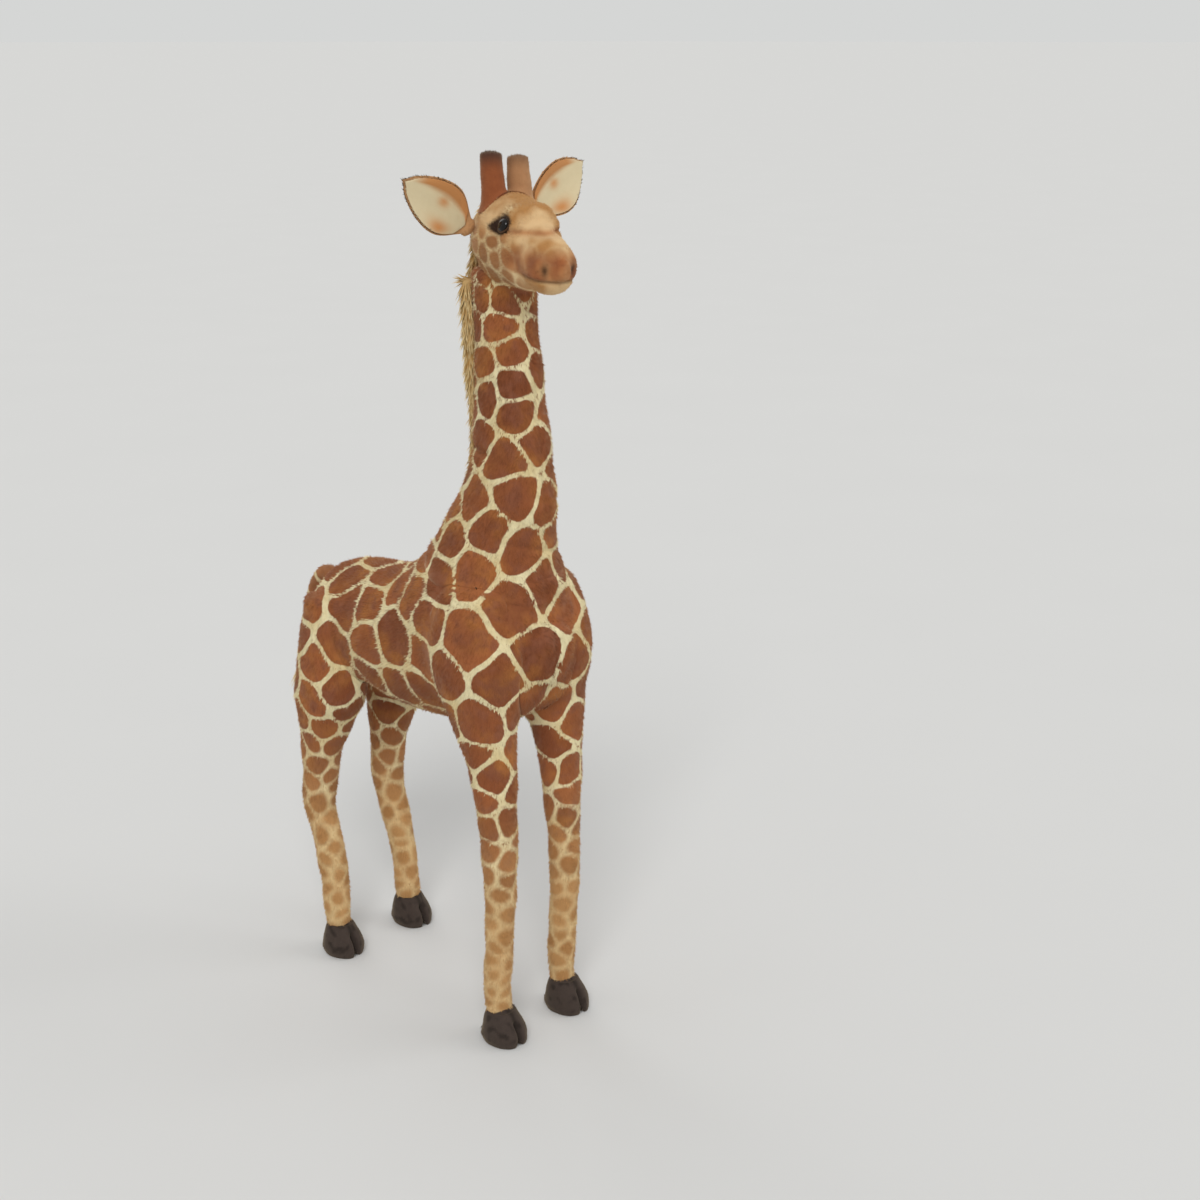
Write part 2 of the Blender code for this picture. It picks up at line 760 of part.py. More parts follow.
def make_hoof(shop, name, leg_stations, leg_cutter, wire_bore):
    """A cloven hoof round the end of a leg, flat below, with the wire's foot inside."""
    foot = leg_stations[0][0]
    stations = []
    for up, lead, half_long, half_side in HOOF_SHARES:
        centre = Vector((foot.x, foot.y - HOOF_TOE_LEAD * lead, HOOF_HEIGHT * up))
        stations.append((centre, HOOF_WIDTH * half_side, HOOF_LENGTH * half_long))
    hoof = stuffed(name, stations, shop.hoof, SLIM_SIDES)
    reach = Vector((HOOF_WIDTH, HOOF_LENGTH, HOOF_HEIGHT))
    ground_low = foot - reach
    ground_low.z = -HOOF_HEIGHT
    ground_high = foot + reach
    ground_high.z = 0
    ground = shop.place(box(name + "_ground", ground_low, ground_high), cutter=True)
    toe = foot.y - HOOF_TOE_LEAD - HOOF_LENGTH / 2
    cleft = box(
        name + "_cleft",
        Vector((foot.x - CLEFT_WIDTH / 2, toe - OVERRUN, -OVERRUN)),
        Vector((foot.x + CLEFT_WIDTH / 2, toe + CLEFT_LENGTH, CLEFT_HEIGHT)),
    )
    shop.place(cleft, cutter=True)
    for cutter in (ground, leg_cutter, wire_bore, cleft):
        boolean(hoof, cutter)
    return shop.place(hoof)


def make_leg(shop, name, stations, trunk_cutter, binding_forward, reach):
    """One leg cut to the trunk, its hoof and its wire. Returns the wire's bore."""
    route = leg_wire_route(stations, binding_forward, reach)
    shop.place(tube(name + "_wire", route, WIRE_WIDTH / 2, shop.steel))
    wire_bore = shop.place(bore(name + "_bore", longer(route), WIRE_WIDTH / 2), cutter=True)
    leg = stuffed(name, stations, shop.plush, SLIM_SIDES)
    boolean(leg, trunk_cutter)
    boolean(leg, wire_bore)
    shop.place(leg)
    leg_cutter = stuffed(name + "_socket", grown(stations, SEAM_GAP), None, SLIM_SIDES)
    shop.place(leg_cutter, cutter=True)
    make_hoof(shop, name.replace("leg", "hoof"), stations, leg_cutter, wire_bore)
    return wire_bore


def make_trunk(shop):
    """The trunk with its legs, wires and bindings."""
    spine_bore = make_spine(shop)
    cutter = stuffed("trunk_seat", grown(trunk_stations(), SEAM_GAP))
    shop.place(cutter, cutter=True)
    cutters = [
        spine_bore,
        make_binding(shop, "front_binding", FRONT_BINDING_FORWARD),
        make_binding(shop, "rear_binding", -REAR_BINDING_BACK),
    ]
    for label, side in (("left", 1), ("right", -1)):
        front = front_leg_stations(side)
        rear = rear_leg_stations(side)
        cutters.append(make_leg(shop, f"front_{label}_leg", front, cutter, FRONT_BINDING_FORWARD, 1))
        cutters.append(make_leg(shop, f"rear_{label}_leg", rear, cutter, -REAR_BINDING_BACK, -1))
    trunk = stuffed("trunk", trunk_stations(), shop.plush)
    for hollow in cutters:
        boolean(trunk, hollow)
    shop.place(trunk)
    return cutter, spine_bore


def make_neck(shop, trunk_cutter, spine_bore):
    """The neck, cut to the trunk below and flat at the seam under the head."""
    neck = stuffed("neck", neck_stations(), shop.plush, SLIM_SIDES)
    reach = Vector((NECK_FOOT_WIDTH, NECK_FOOT_DEPTH, 0))
    middle = at(NECK_TOP_FORWARD, 0, NECK_SEAM_HEIGHT)
    above = box("above_seam", middle - reach, middle + reach + Vector((0, 0, OVERRUN * 2)))
    for cutter in (trunk_cutter, shop.place(above, cutter=True), spine_bore):
        boolean(neck, cutter)
    shop.place(neck)
    neck_cutter = stuffed("neck_seat", grown(neck_stations(), SEAM_GAP), None, SLIM_SIDES)
    return shop.place(neck_cutter, cutter=True)


def make_mane(shop, neck_cutter, head_cutter, nape_cutter, head_carrier):
    """Two lengths of mane: one down the neck, and one on the back of the head, which turns."""
    neck = neck_stations()
    stations = []
    for step in range(MANE_STEPS):
        share = step / (MANE_STEPS - 1)
        height = between(MANE_FOOT_HEIGHT, NECK_SEAM_HEIGHT + OVERRUN / 2, share)
        centre = back_of_neck(neck, height) + at((MANE_SUNK - MANE_PROUD) / 2, 0, 0)
        fade = min(1, between(MANE_FOOT_SHARE, 1, share / MANE_FULL_SHARE))
        stations.append((centre, MANE_WIDTH / 2 * fade, (MANE_PROUD + MANE_SUNK) / 2 * fade))
    mane = stuffed("mane", stations, shop.mane, SLIM_SIDES)
    boolean(mane, neck_cutter)
    boolean(mane, bpy.data.objects["above_seam"])
    shop.place(mane)
    nape_back = NECK_TOP_FORWARD - NECK_TOP_DEPTH / 2
    route = [
        at(nape_back, 0, NECK_SEAM_HEIGHT - OVERRUN / 3),
        at(nape_back, 0, NECK_SEAM_HEIGHT + NAPE_HEIGHT * POLL_RISE_SHARE),
        *(surface_spot(head_stations(), along, QUARTER)[0] for along in POLL_ALONG_SHARES),
    ]
    poll = []
    for step, place in enumerate(route):
        fade = between(1, POLL_END_SHARE, step / (len(route) - 1))
        poll.append((place, MANE_WIDTH / 2 * fade, (MANE_PROUD + MANE_SUNK) / 2 * fade))
    poll_mane = stuffed("poll_mane", poll, shop.mane, SLIM_SIDES)
    reach = Vector((MANE_WIDTH, NECK_TOP_DEPTH, 0))
    middle = at(NECK_TOP_FORWARD, 0, NECK_SEAM_HEIGHT + SEAM_GAP)
    below = box("below_seam", middle - reach - Vector((0, 0, OVERRUN * 2)), middle + reach)
    shop.place(below, head_carrier, cutter=True)
    for cutter in (nape_cutter, head_cutter, below):
        boolean(poll_mane, cutter)
    shop.place(poll_mane, head_carrier)
    return below


def back_of_neck(stations, height):
    """The place on the back of the neck at a height."""
    for low, high in zip(stations, stations[1:]):
        if low[0].z <= height <= high[0].z:
            share = (height - low[0].z) / (high[0].z - low[0].z)
            centre = low[0].lerp(high[0], share)
            return centre + at(-between(low[2], high[2], share), 0, 0)
    return stations[-1][0] + at(-stations[-1][2], 0, 0)


def horn_stations(side):
    """A stub that leans back and out, from inside the skull to its rounded end."""
    head = head_stations()
    foot, _ = surface_spot(head, HORN_ALONG_SHARE, QUARTER)
    back = math.tan(math.radians(HORN_BACK_LEAN))
    out = math.tan(math.radians(HORN_OUT_LEANS[side]))
    lean = at(-back, side * out, 1).normalized()
    start = foot + at(0, side * HORN_SPACING / 2, 0) - lean * HORN_SUNK
    stations = []
    for along, wide in HORN_SHARES:
        radius = between(HORN_TOP_WIDTH, HORN_FOOT_WIDTH, wide) / 2
        stations.append((start + lean * HORN_LENGTHS[side] * along, radius, radius))
    return stations


def eye_frame(side):
    """Where an eye sits on the head and the way it faces."""
    spot, out = surface_spot(head_stations(), EYE_ALONG_SHARE, EYE_ROUND_SHARE)
    if side < 0:
        spot.x, out.x = -spot.x, -out.x
    return spot, out


def make_eye(shop, label, side, head_carrier):
    """A domed eye with its stem, the washer on the stem, and the lid over it. Returns cutters."""
    spot, out = eye_frame(side)
    seat = spot + out * (EYE_PROUD - EYE_RIM)
    radius = EYE_WIDTH / 2
    shape = bmesh.new()
    bmesh.ops.create_uvsphere(
        shape,
        u_segments=EYE_SIDES,
        v_segments=EYE_SIDES // 2 + 2,
        radius=radius,
        matrix=Matrix.Diagonal((1, 1, EYE_DOME / radius, 1)),
    )
    flat = bmesh.ops.bisect_plane(
        shape,
        geom=shape.verts[:] + shape.edges[:] + shape.faces[:],
        plane_co=(0, 0, 0),
        plane_no=(0, 0, -1),
        clear_outer=True,
    )
    rim = [e for e in flat["geom_cut"] if isinstance(e, bmesh.types.BMEdge)]
    skirt = bmesh.ops.extrude_edge_only(shape, edges=rim)["geom"]
    low = [v for v in skirt if isinstance(v, bmesh.types.BMVert)]
    bmesh.ops.translate(shape, verts=low, vec=(0, 0, -EYE_RIM))
    bmesh.ops.holes_fill(shape, edges=[e for e in skirt if isinstance(e, bmesh.types.BMEdge)])
    bmesh.ops.recalc_face_normals(shape, faces=shape.faces)
    shape.transform(turned_matrix(seat + out * EYE_RIM, out))
    mesh = bpy.data.meshes.new(f"{label}_eye")
    shape.to_mesh(mesh)
    shape.free()
    mesh.shade_smooth()
    eye = new_object(f"{label}_eye", mesh, shop.eye)
    top = seat + out * EYE_RIM
    stem_end = seat - out * EYE_STEM_LENGTH
    stem = rod(f"{label}_eye_stem", (seat + top) / 2, stem_end, EYE_STEM_WIDTH / 2)
    boolean(eye, shop.place(stem, head_carrier, cutter=True), "UNION")
    shop.place(eye, head_carrier)
    face = seat - out * WASHER_DEPTH
    back = face - out * WASHER_THICKNESS
    gap = out * SEAM_GAP
    stem_room = EYE_STEM_WIDTH / 2 + WIRE_CLEARANCE
    washer = rod(f"{label}_eye_washer", face, back, WASHER_WIDTH / 2, shop.washer)
    hole = rod(f"{label}_washer_hole", seat, stem_end - out * OVERRUN, stem_room)
    boolean(washer, shop.place(hole, head_carrier, cutter=True))
    shop.place(washer, head_carrier)
    pocket = rod(f"{label}_eye_pocket", seat - gap, seat + out * OVERRUN, radius + SEAM_GAP)
    stem_bore = rod(f"{label}_stem_bore", top, stem_end - gap, stem_room)
    washer_room = rod(f"{label}_washer_room", face + gap, back - gap, WASHER_WIDTH / 2 + SEAM_GAP)
    lid = make_eyelid(shop, label, side, seat, out)
    return [shop.place(item, head_carrier, cutter=True) for item in (pocket, stem_bore, washer_room)], lid


def make_eyelid(shop, label, side, seat, out):
    """A thin roll of dark plush over the top of an eye."""
    up = (Vector((0, 0, 1)) - out * out.z).normalized()
    ahead = up.cross(out).normalized()
    radius = EYE_WIDTH / 2 + SEAM_GAP + EYELID_THICKNESS / 2 + SEAM_GAP
    points = []
    radii = []
    for step in range(EYELID_POINTS):
        share = step / (EYELID_POINTS - 1)
        turn = math.radians(90 + EYELID_SWEEP * (share - 0.5))
        lift = out * (EYE_RIM + EYELID_OVERHANG)
        points.append(seat + lift + ahead * radius * math.cos(turn) + up * radius * math.sin(turn))
        full = between(EYELID_END_SHARE, 1, math.sin(math.pi * share))
        radii.append(EYELID_THICKNESS / 2 * full)
    return new_object(f"{label}_eyelid", tube_mesh(f"{label}_eyelid", points, radii), shop.lid)


def ear_frame(side):
    """The ear root's place on the head, the ear's length and facing axes, and its hinge axis."""
    *angles, along_share, round_share = EAR_STANDS[side]
    spot, out = surface_spot(head_stations(), along_share, round_share)
    rise, sweep, twist = (math.radians(angle) for angle in angles)
    length = at(math.sin(sweep), math.cos(rise) * math.cos(sweep), math.sin(rise)).normalized()
    facing = at(1, 0, 0)
    facing = (facing - length * facing.dot(length)).normalized()
    facing = Matrix.Rotation(twist, 3, length) @ facing
    pivot = spot + out * (EAR_ROOT_WIDTH / 2 + SEAM_GAP - EAR_ROOT_SINKS[side])
    across = length.cross(facing)
    hinge = (across - out * across.dot(out)).normalized()
    if side < 0:
        pivot.x, length.x, facing.x, hinge.x = -pivot.x, -length.x, -facing.x, -hinge.x
    return pivot, length, facing, hinge


def ear_sheet(name, frame, start, margin, lift, wall, material):
    """A cupped leaf of plush: a grid whose width follows the leaf, given a wall on its back."""
    pivot, length, facing, _ = frame
    across = length.cross(facing).normalized()
    shape = bmesh.new()
    bmesh.ops.create_grid(shape, x_segments=EAR_COLUMNS - 1, y_segments=EAR_ROWS - 1, size=1.0)
    for point in shape.verts:
        wide = point.co.x
        along = (point.co.y + 1) / 2
        leaf = between(start / EAR_LENGTH, 1 - margin / EAR_LENGTH, along)
        place = leaf * (len(EAR_LEAF_SHARES) - 1)
        index = min(int(place), len(EAR_LEAF_SHARES) - 2)
        half = EAR_WIDTH * between(EAR_LEAF_SHARES[index], EAR_LEAF_SHARES[index + 1], place - index)
        half = max(half - margin, margin / 2)
        bow = math.sin(math.pi * between(*EAR_CUP_SHARES, leaf))
        cup = EAR_CUP * (wide * half / (EAR_WIDTH / 2)) ** 2 * bow
        point.co = pivot + length * (EAR_LENGTH * leaf) + across * (wide * half) + facing * cup
    bmesh.ops.recalc_face_normals(shape, faces=shape.faces)
    shape.normal_update()
    if sum((face.normal.dot(facing) for face in shape.faces)) < 0:
        bmesh.ops.reverse_faces(shape, faces=shape.faces)
        shape.normal_update()
    lifts = [point.normal * lift for point in shape.verts]
    for point, move in zip(shape.verts, lifts):
        point.co += move
    mesh = bpy.data.meshes.new(name)
    shape.to_mesh(mesh)
    shape.free()
    mesh.shade_smooth()
    sheet = new_object(name, mesh, material)
    solid = sheet.modifiers.new("wall", "SOLIDIFY")
    solid.thickness = wall
    solid.offset = -1.0
    return sheet


def make_ear(shop, label, side, head_carrier):
    """An ear's back and lining on a carrier at its sewn root."""
    frame = ear_frame(side)
    pivot, _, _, hinge = frame
    carrier = shop.carrier(f"{label}_ear_root", pivot, head_carrier)
    back = ear_sheet(f"{label}_ear_back", frame, 0.0, 0.0, 0.0, EAR_BACK_WALL, shop.tan)
    reach = hinge * (EAR_ROOT_LENGTH / 2)
    root = rod(f"{label}_ear_roll", pivot - reach, pivot + reach, EAR_ROOT_WIDTH / 2)
    boolean(back, shop.place(root, carrier, cutter=True), "UNION")
    shop.place(back, carrier)
    lining = ear_sheet(
        f"{label}_ear_lining",
        frame,
        EAR_LINING_START,
        EAR_LINING_MARGIN,
        EAR_LINING_GAP + EAR_LINING_WALL,
        EAR_LINING_WALL,
        shop.cream,
    )
    shop.place(lining, carrier)
    return carrier


def make_head(shop, spine_bore):
    """The head with all that it carries. Returns the shapes that the mane is cut by."""
    carrier = shop.carrier("head_pivot", at(NECK_TOP_FORWARD, 0, NECK_SEAM_HEIGHT))
    head_cutter = stuffed("head_seat", grown(head_stations(), SEAM_GAP))
    shop.place(head_cutter, carrier, cutter=True)
    nape_cutter = stuffed("nape_seat", grown(nape_stations(), SEAM_GAP), None, SLIM_SIDES)
    shop.place(nape_cutter, carrier, cutter=True)
    nape = shop.place(stuffed("nape", nape_stations(), None, SLIM_SIDES), carrier, cutter=True)
    head = stuffed("head", head_stations(), shop.tan)
    boolean(head, nape, "UNION")
    shop.place(head, carrier)
    muzzle = stuffed("muzzle", muzzle_stations(), shop.tan, SLIM_SIDES)
    boolean(muzzle, head_cutter)
    shop.place(muzzle, carrier)
    hollows = [spine_bore]
    for label, side in (("left", 1), ("right", -1)):
        horn = stuffed(f"{label}_horn", horn_stations(side), shop.horn, SLIM_SIDES)
        boolean(horn, head_cutter)
        shop.place(horn, carrier)
        cuts, lid = make_eye(shop, label, side, carrier)
        boolean(lid, head_cutter)
        shop.place(lid, carrier)
        hollows.extend(cuts)
        make_ear(shop, label, side, carrier)
    for hollow in hollows:
        boolean(head, hollow)
    return carrier, head, head_cutter, nape_cutter


def tail_root():
    """The middle of the tail's root ball, just behind the rump."""
    spot, out = surface_spot(trunk_stations(), TAIL_ALONG_SHARE, QUARTER)
    out = (out + at(-1, 0, 0)).normalized()
    return spot + out * (TAIL_ROOT_WIDTH / 2 + SEAM_GAP - TAIL_ROOT_SINK)


def make_tail(shop, trunk_cutter):
    """The tail on a carrier at its root, with its wire, and the tuft on a carrier at its end."""
    root = tail_root()
    carrier = shop.carrier("tail_pivot", root)
    knots = [root + at(-TAIL_REACH * back, 0, -TAIL_DROP * drop) for back, drop in TAIL_SHARES]
    route = smooth_route(knots, TAIL_POINTS)
    steps = TAIL_POINTS - 1
    radii = [between(TAIL_ROOT_WIDTH, TAIL_END_WIDTH, step / steps) / 2 for step in range(TAIL_POINTS)]
    tail = new_object("tail", tube_mesh("tail", route, radii), shop.plush)
    end = route[-1]
    for name, place, radius in (("tail_root_ball", root, radii[0]), ("tail_end_ball", end, radii[-1])):
        boolean(tail, shop.place(ball(name, place, radius), carrier, cutter=True), "UNION")
    wire_route = route[1:-1]
    shop.place(tube("tail_wire", wire_route, TAIL_WIRE_WIDTH / 2, shop.steel), carrier)
    mouth = root + (route[0] - route[1]).normalized() * TAIL_ROOT_WIDTH
    wire_bore = bore("tail_bore", [mouth, *route[:-1]], TAIL_WIRE_WIDTH / 2)
    boolean(tail, shop.place(wire_bore, carrier, cutter=True))
    shop.place(tail, carrier)
    tuft_carrier = shop.carrier("tuft_pivot", end, carrier)
    stations = []
    for down, half in TUFT_SHARES:
        centre = end + at(0, 0, -TUFT_LENGTH * down - TAIL_END_WIDTH / 2)
        stations.append((centre, TUFT_WIDTH * half, TUFT_DEPTH * half))
    tuft = stuffed("tail_tuft", stations, shop.mane, SLIM_SIDES)
    # A ball of flats is nearest its middle at a flat's own middle, across both ways of its net
    flat_share = math.cos(math.pi / ROD_SIDES) ** 2
    seat = ball("tuft_seat", end, (TAIL_END_WIDTH / 2 + TUFT_TURN_CLEARANCE) / flat_share)
    boolean(tuft, shop.place(seat, tuft_carrier, cutter=True))
    shop.place(tuft, tuft_carrier)


def main():
    clear_scene()
    shop = Workshop()
    trunk_cutter, spine_bore = make_trunk(shop)
    neck_cutter = make_neck(shop, trunk_cutter, spine_bore)
    head_carrier, head, head_cutter, nape_cutter = make_head(shop, spine_bore)
    below = make_mane(shop, neck_cutter, head_cutter, nape_cutter, head_carrier)
    boolean(head, below)
    make_tail(shop, trunk_cutter)
    head_carrier.rotation_euler.z = -math.radians(HEAD_TURN)
    for item in [*shop.parts.objects, *shop.cutters.objects]:
        if item.parent is None:
            item.location += at(MIDDLE_FORWARD, MIDDLE_LEFT, 0)
    bpy.context.view_layer.update()


main()
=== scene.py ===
"""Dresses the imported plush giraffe: skins, printed coat, pile, mane, face, ears, hooves and tail.

The toy faces -Y, its left side is +X and +Z is up. Lengths are metres.
"""

import math

import bpy
import numpy as np
from mathutils import Matrix


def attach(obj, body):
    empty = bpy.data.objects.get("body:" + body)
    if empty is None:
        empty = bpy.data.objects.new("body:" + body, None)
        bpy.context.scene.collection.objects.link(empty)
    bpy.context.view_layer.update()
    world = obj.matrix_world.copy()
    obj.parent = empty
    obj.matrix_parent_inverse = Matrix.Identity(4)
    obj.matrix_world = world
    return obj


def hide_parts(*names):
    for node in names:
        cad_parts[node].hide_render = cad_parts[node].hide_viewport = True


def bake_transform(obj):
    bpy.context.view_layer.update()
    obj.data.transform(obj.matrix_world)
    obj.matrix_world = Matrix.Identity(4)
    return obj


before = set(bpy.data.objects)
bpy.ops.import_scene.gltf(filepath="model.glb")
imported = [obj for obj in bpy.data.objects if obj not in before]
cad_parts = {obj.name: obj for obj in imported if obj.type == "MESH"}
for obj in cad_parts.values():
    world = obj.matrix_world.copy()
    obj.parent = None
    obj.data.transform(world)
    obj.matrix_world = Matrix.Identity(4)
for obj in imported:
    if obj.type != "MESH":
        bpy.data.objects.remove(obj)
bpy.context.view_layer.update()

MM = 0.001
TAU = 2 * math.pi
CM_IN_METRE = 100
LEFT = np.array([1.0, 0, 0])
UP = np.array([0, 0, 1.0])
FORWARD = np.array([0, -1.0, 0])
# Each side's name, and its sign along X
SIDES = (("left", 1), ("right", -1))
# Channels of attribute coat, then of attribute zones
EDGE, SHADE, TIP = 0, 2, 3
FADE, PLAIN, RED, DARK = range(4)
MIDDLE_FORWARD = 7.7 * MM
MIDDLE_LEFT = 1.7 * MM
dice = np.random.default_rng(7)

# The photograph's camera: its place, where it looks, and its lens on a 36 mm sensor
CAMERA_DISTANCE = 1.9275
CAMERA_HEIGHT = 1.1079
CAMERA_TURN = 39.55
CAMERA_YAW = 5.70
CAMERA_PITCH = 17.94
CAMERA_LENS = 52.14
SENSOR_WIDTH = 36

# Trunk, rows from rump to chest: along, middle height, half depth, half width
TRUNK_LENGTH = 392 * MM
TRUNK_DEPTH = 168 * MM
TRUNK_WIDTH = 162 * MM
BELLY_HEIGHT = 348 * MM
RUMP_BACK = 196 * MM
TRUNK_SHARES = (
    (0.000, 0.525, 0.150, 0.15),
    (0.035, 0.535, 0.270, 0.28),
    (0.125, 0.560, 0.385, 0.37),
    (0.390, 0.548, 0.495, 0.49),
    (0.610, 0.655, 0.600, 0.50),
    (0.745, 0.745, 0.625, 0.49),
    (0.870, 0.755, 0.545, 0.44),
    (0.965, 0.710, 0.370, 0.34),
    (1.000, 0.680, 0.190, 0.17),
)

# Neck, rows from the shoulders up: height, then how far place, depth and width have gone
NECK_FOOT_HEIGHT = 500 * MM
NECK_SEAM_HEIGHT = 852 * MM
NECK_FOOT_DEPTH = 158 * MM
NECK_TOP_DEPTH = 74 * MM
NECK_FOOT_WIDTH = 124 * MM
NECK_TOP_WIDTH = 61 * MM
NECK_FOOT_FORWARD = 106 * MM
NECK_TOP_FORWARD = 127 * MM
NECK_SHARES = (
    (0.00, 0.00, 0.00, 0.00),
    (0.14, 0.10, 0.09, 0.14),
    (0.28, 0.42, 0.20, 0.34),
    (0.40, 1.20, 0.46, 0.54),
    (0.56, 1.46, 0.77, 0.77),
    (0.90, 1.18, 0.99, 0.97),
    (1.06, 1.00, 1.00, 1.00),
)

# Head, rows from the nape to the face: along, middle height, half depth, half width
HEAD_TURN = 17
HEAD_LENGTH = 118 * MM
HEAD_DEPTH = 95 * MM
HEAD_WIDTH = 76 * MM
HEAD_BACK = 30 * MM
JAW_HEIGHT = 14 * MM
HEAD_SHARES = (
    (0.00, 0.490, 0.13, 0.15),
    (0.10, 0.480, 0.32, 0.36),
    (0.28, 0.480, 0.44, 0.47),
    (0.50, 0.490, 0.48, 0.50),
    (0.72, 0.450, 0.46, 0.46),
    (0.90, 0.400, 0.39, 0.38),
    (1.00, 0.370, 0.24, 0.22),
)
MUZZLE_LENGTH = 84 * MM
MUZZLE_DEPTH = 66 * MM
MUZZLE_WIDTH = 52 * MM
MUZZLE_REACH = 133 * MM
MUZZLE_LOW = 12 * MM
MUZZLE_SHARES = (
    (0.00, 0.650, 0.45, 0.43),
    (0.20, 0.610, 0.55, 0.52),
    (0.44, 0.545, 0.51, 0.50),
    (0.68, 0.475, 0.47, 0.49),
    (0.89, 0.430, 0.38, 0.42),
    (1.00, 0.410, 0.20, 0.22),
)

# Horns, rows from foot to tip: along, then how wide from top width to foot width
HORN_LENGTHS = {"left": 57 * MM, "right": 61.3 * MM}
HORN_FOOT_WIDTH = 29 * MM
HORN_TOP_WIDTH = 24 * MM
HORN_SPACING = 30 * MM
HORN_BACK_LEAN = 3
HORN_OUT_LEANS = {"left": -3, "right": 2}
HORN_ALONG_SHARE = 0.36
HORN_SUNK = 16 * MM
HORN_SHARES = ((0.00, 1.00), (0.45, 0.50), (0.90, 0.04), (0.98, -0.10))

# Ears
EAR_LENGTH = 94 * MM
EAR_WIDTH = 54 * MM
EAR_CUP = 9 * MM
EAR_CUP_SHARES = (0.15, 0.90)
EAR_BACK_WALL = 2.6 * MM
EAR_LINING_WALL = 1.8 * MM
EAR_LINING_GAP = 0.7 * MM
EAR_LINING_MARGIN = 2.4 * MM
EAR_LINING_START = 9 * MM
EAR_ROOT_WIDTH = 9 * MM
EAR_ROOT_LENGTH = 20 * MM
# How far each ear's root lies inside the head's true curve
EAR_ROOT_SINKS = {"left": 0.4 * MM, "right": 1.1 * MM}
# How each ear stands: its rise, forward sweep, face's twist, and its root's place along and round
EAR_SETS = {"left": (32, -16, 2, 0.24, 0.085), "right": (34, 8, 6, 0.30, 0.035)}
EAR_RINGS = 48
EAR_SIDES = 44
EAR_LEAF_SHARES = (0.10, 0.25, 0.39, 0.48, 0.50, 0.46, 0.37, 0.23, 0.05)

# Eyes
EYE_WIDTH = 15 * MM
EYE_DOME = 4.6 * MM
EYE_RIM = 1.4 * MM
EYE_PROUD = 1.2 * MM
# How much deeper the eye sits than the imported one, and how far its back is behind its seat
EYE_SINK = 1.8 * MM
EYE_BACK = 3 * MM
EYE_RINGS = 13
EYE_SIDES = 40
EYE_ALONG_SHARE = 0.75
EYE_ROUND_SHARE = 0.092
EYELID_THICKNESS = 3.2 * MM

# Mane
MANE_WIDTH = 58 * MM
MANE_PROUD = 9 * MM
MANE_SUNK = 12 * MM
MANE_FOOT_HEIGHT = 604 * MM
MANE_FOOT_SHARE = 0.35
MANE_FULL_SHARE = 0.80
NAPE_HEIGHT = 60 * MM
POLL_ALONG_SHARES = (0.06, 0.18)

# Legs
SHIN_WIDTH = 34 * MM
FRONT_TOP_HEIGHT = 530 * MM
FRONT_TOP_FORWARD = 132 * MM
FRONT_TOP_DEPTH = 128 * MM
FRONT_TOP_WIDTH = 84 * MM
FRONT_HOOF_FORWARD = 157 * MM
FRONT_STANCE = 101 * MM
FRONT_TOP_SPREAD = 106 * MM
REAR_TOP_HEIGHT = 466 * MM
REAR_TOP_BACK = 138 * MM
REAR_TOP_DEPTH = 116 * MM
REAR_TOP_WIDTH = 80 * MM
REAR_HOOF_BACK = 142 * MM
REAR_HOCK_BACK = 32 * MM
REAR_STANCE = 112 * MM
REAR_TOP_SPREAD = 104 * MM
LEG_END_HEIGHT = 22 * MM
# Rows: height, place from hoof to top, hock bend, depth and width from shin to top
FRONT_LEG_SHARES = (
    (0.00, 0.00, 0.00, -0.04, -0.04),
    (0.08, 0.14, 0.00, 0.00, 0.00),
    (0.32, -0.14, 0.00, 0.03, 0.07),
    (0.60, 0.12, 0.00, 0.18, 0.40),
    (0.75, 0.76, 0.00, 0.56, 0.84),
    (0.88, 1.00, 0.00, 0.92, 0.98),
    (1.00, 1.00, 0.00, 0.42, 0.34),
)
REAR_LEG_SHARES = (
    (0.00, 0.00, 0.00, -0.04, -0.04),
    (0.08, 0.05, 0.04, 0.00, 0.00),
    (0.24, 0.33, 0.38, 0.03, 0.04),
    (0.38, 0.58, 1.00, 0.14, 0.12),
    (0.52, 0.80, 0.86, 0.22, 0.26),
    (0.66, 0.95, 0.45, 0.56, 0.64),
    (0.76, 0.92, 0.06, 0.86, 0.90),
    (1.00, 0.00, 0.00, 0.26, 0.20),
)

# Hooves, rows from the ground up: height, toe's lead, half length, half width
HOOF_LENGTH = 60 * MM
HOOF_WIDTH = 51 * MM
HOOF_HEIGHT = 38 * MM
HOOF_TOE_LEAD = 6 * MM
HOOF_SHARES = (
    (-0.12, 1.00, 0.48, 0.47),
    (0.30, 0.95, 0.50, 0.50),
    (0.90, 0.10, 0.33, 0.38),
    (1.05, 0.00, 0.22, 0.26),
)

# Tail and its tuft
TAIL_ROOT_WIDTH = 20 * MM
TAIL_END_WIDTH = 13 * MM
TAIL_REACH = 56 * MM
TAIL_DROP = 124 * MM
TAIL_ALONG_SHARE = 0.015
# How far the tail's root lies inside the rump's true curve
TAIL_ROOT_SINK = 0.6 * MM
TAIL_SHARES = ((0.00, 0.00), (0.22, 0.02), (0.50, 0.14), (0.74, 0.36), (0.90, 0.66), (1.00, 1.00))
TUFT_LENGTH = 74 * MM
TUFT_WIDTH = 40 * MM
TUFT_DEPTH = 30 * MM
TUFT_SHARES = ((0.00, 0.24), (0.22, 0.42), (0.52, 0.50), (0.80, 0.38), (0.97, 0.14))


# Places and shapes

def at(forward, left, up):
    """A place from its distance forward, to the toy's left and up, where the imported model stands."""
    return np.array([left + MIDDLE_LEFT, -forward - MIDDLE_FORWARD, up])


def between(low, high, share):
    return low + (high - low) * share


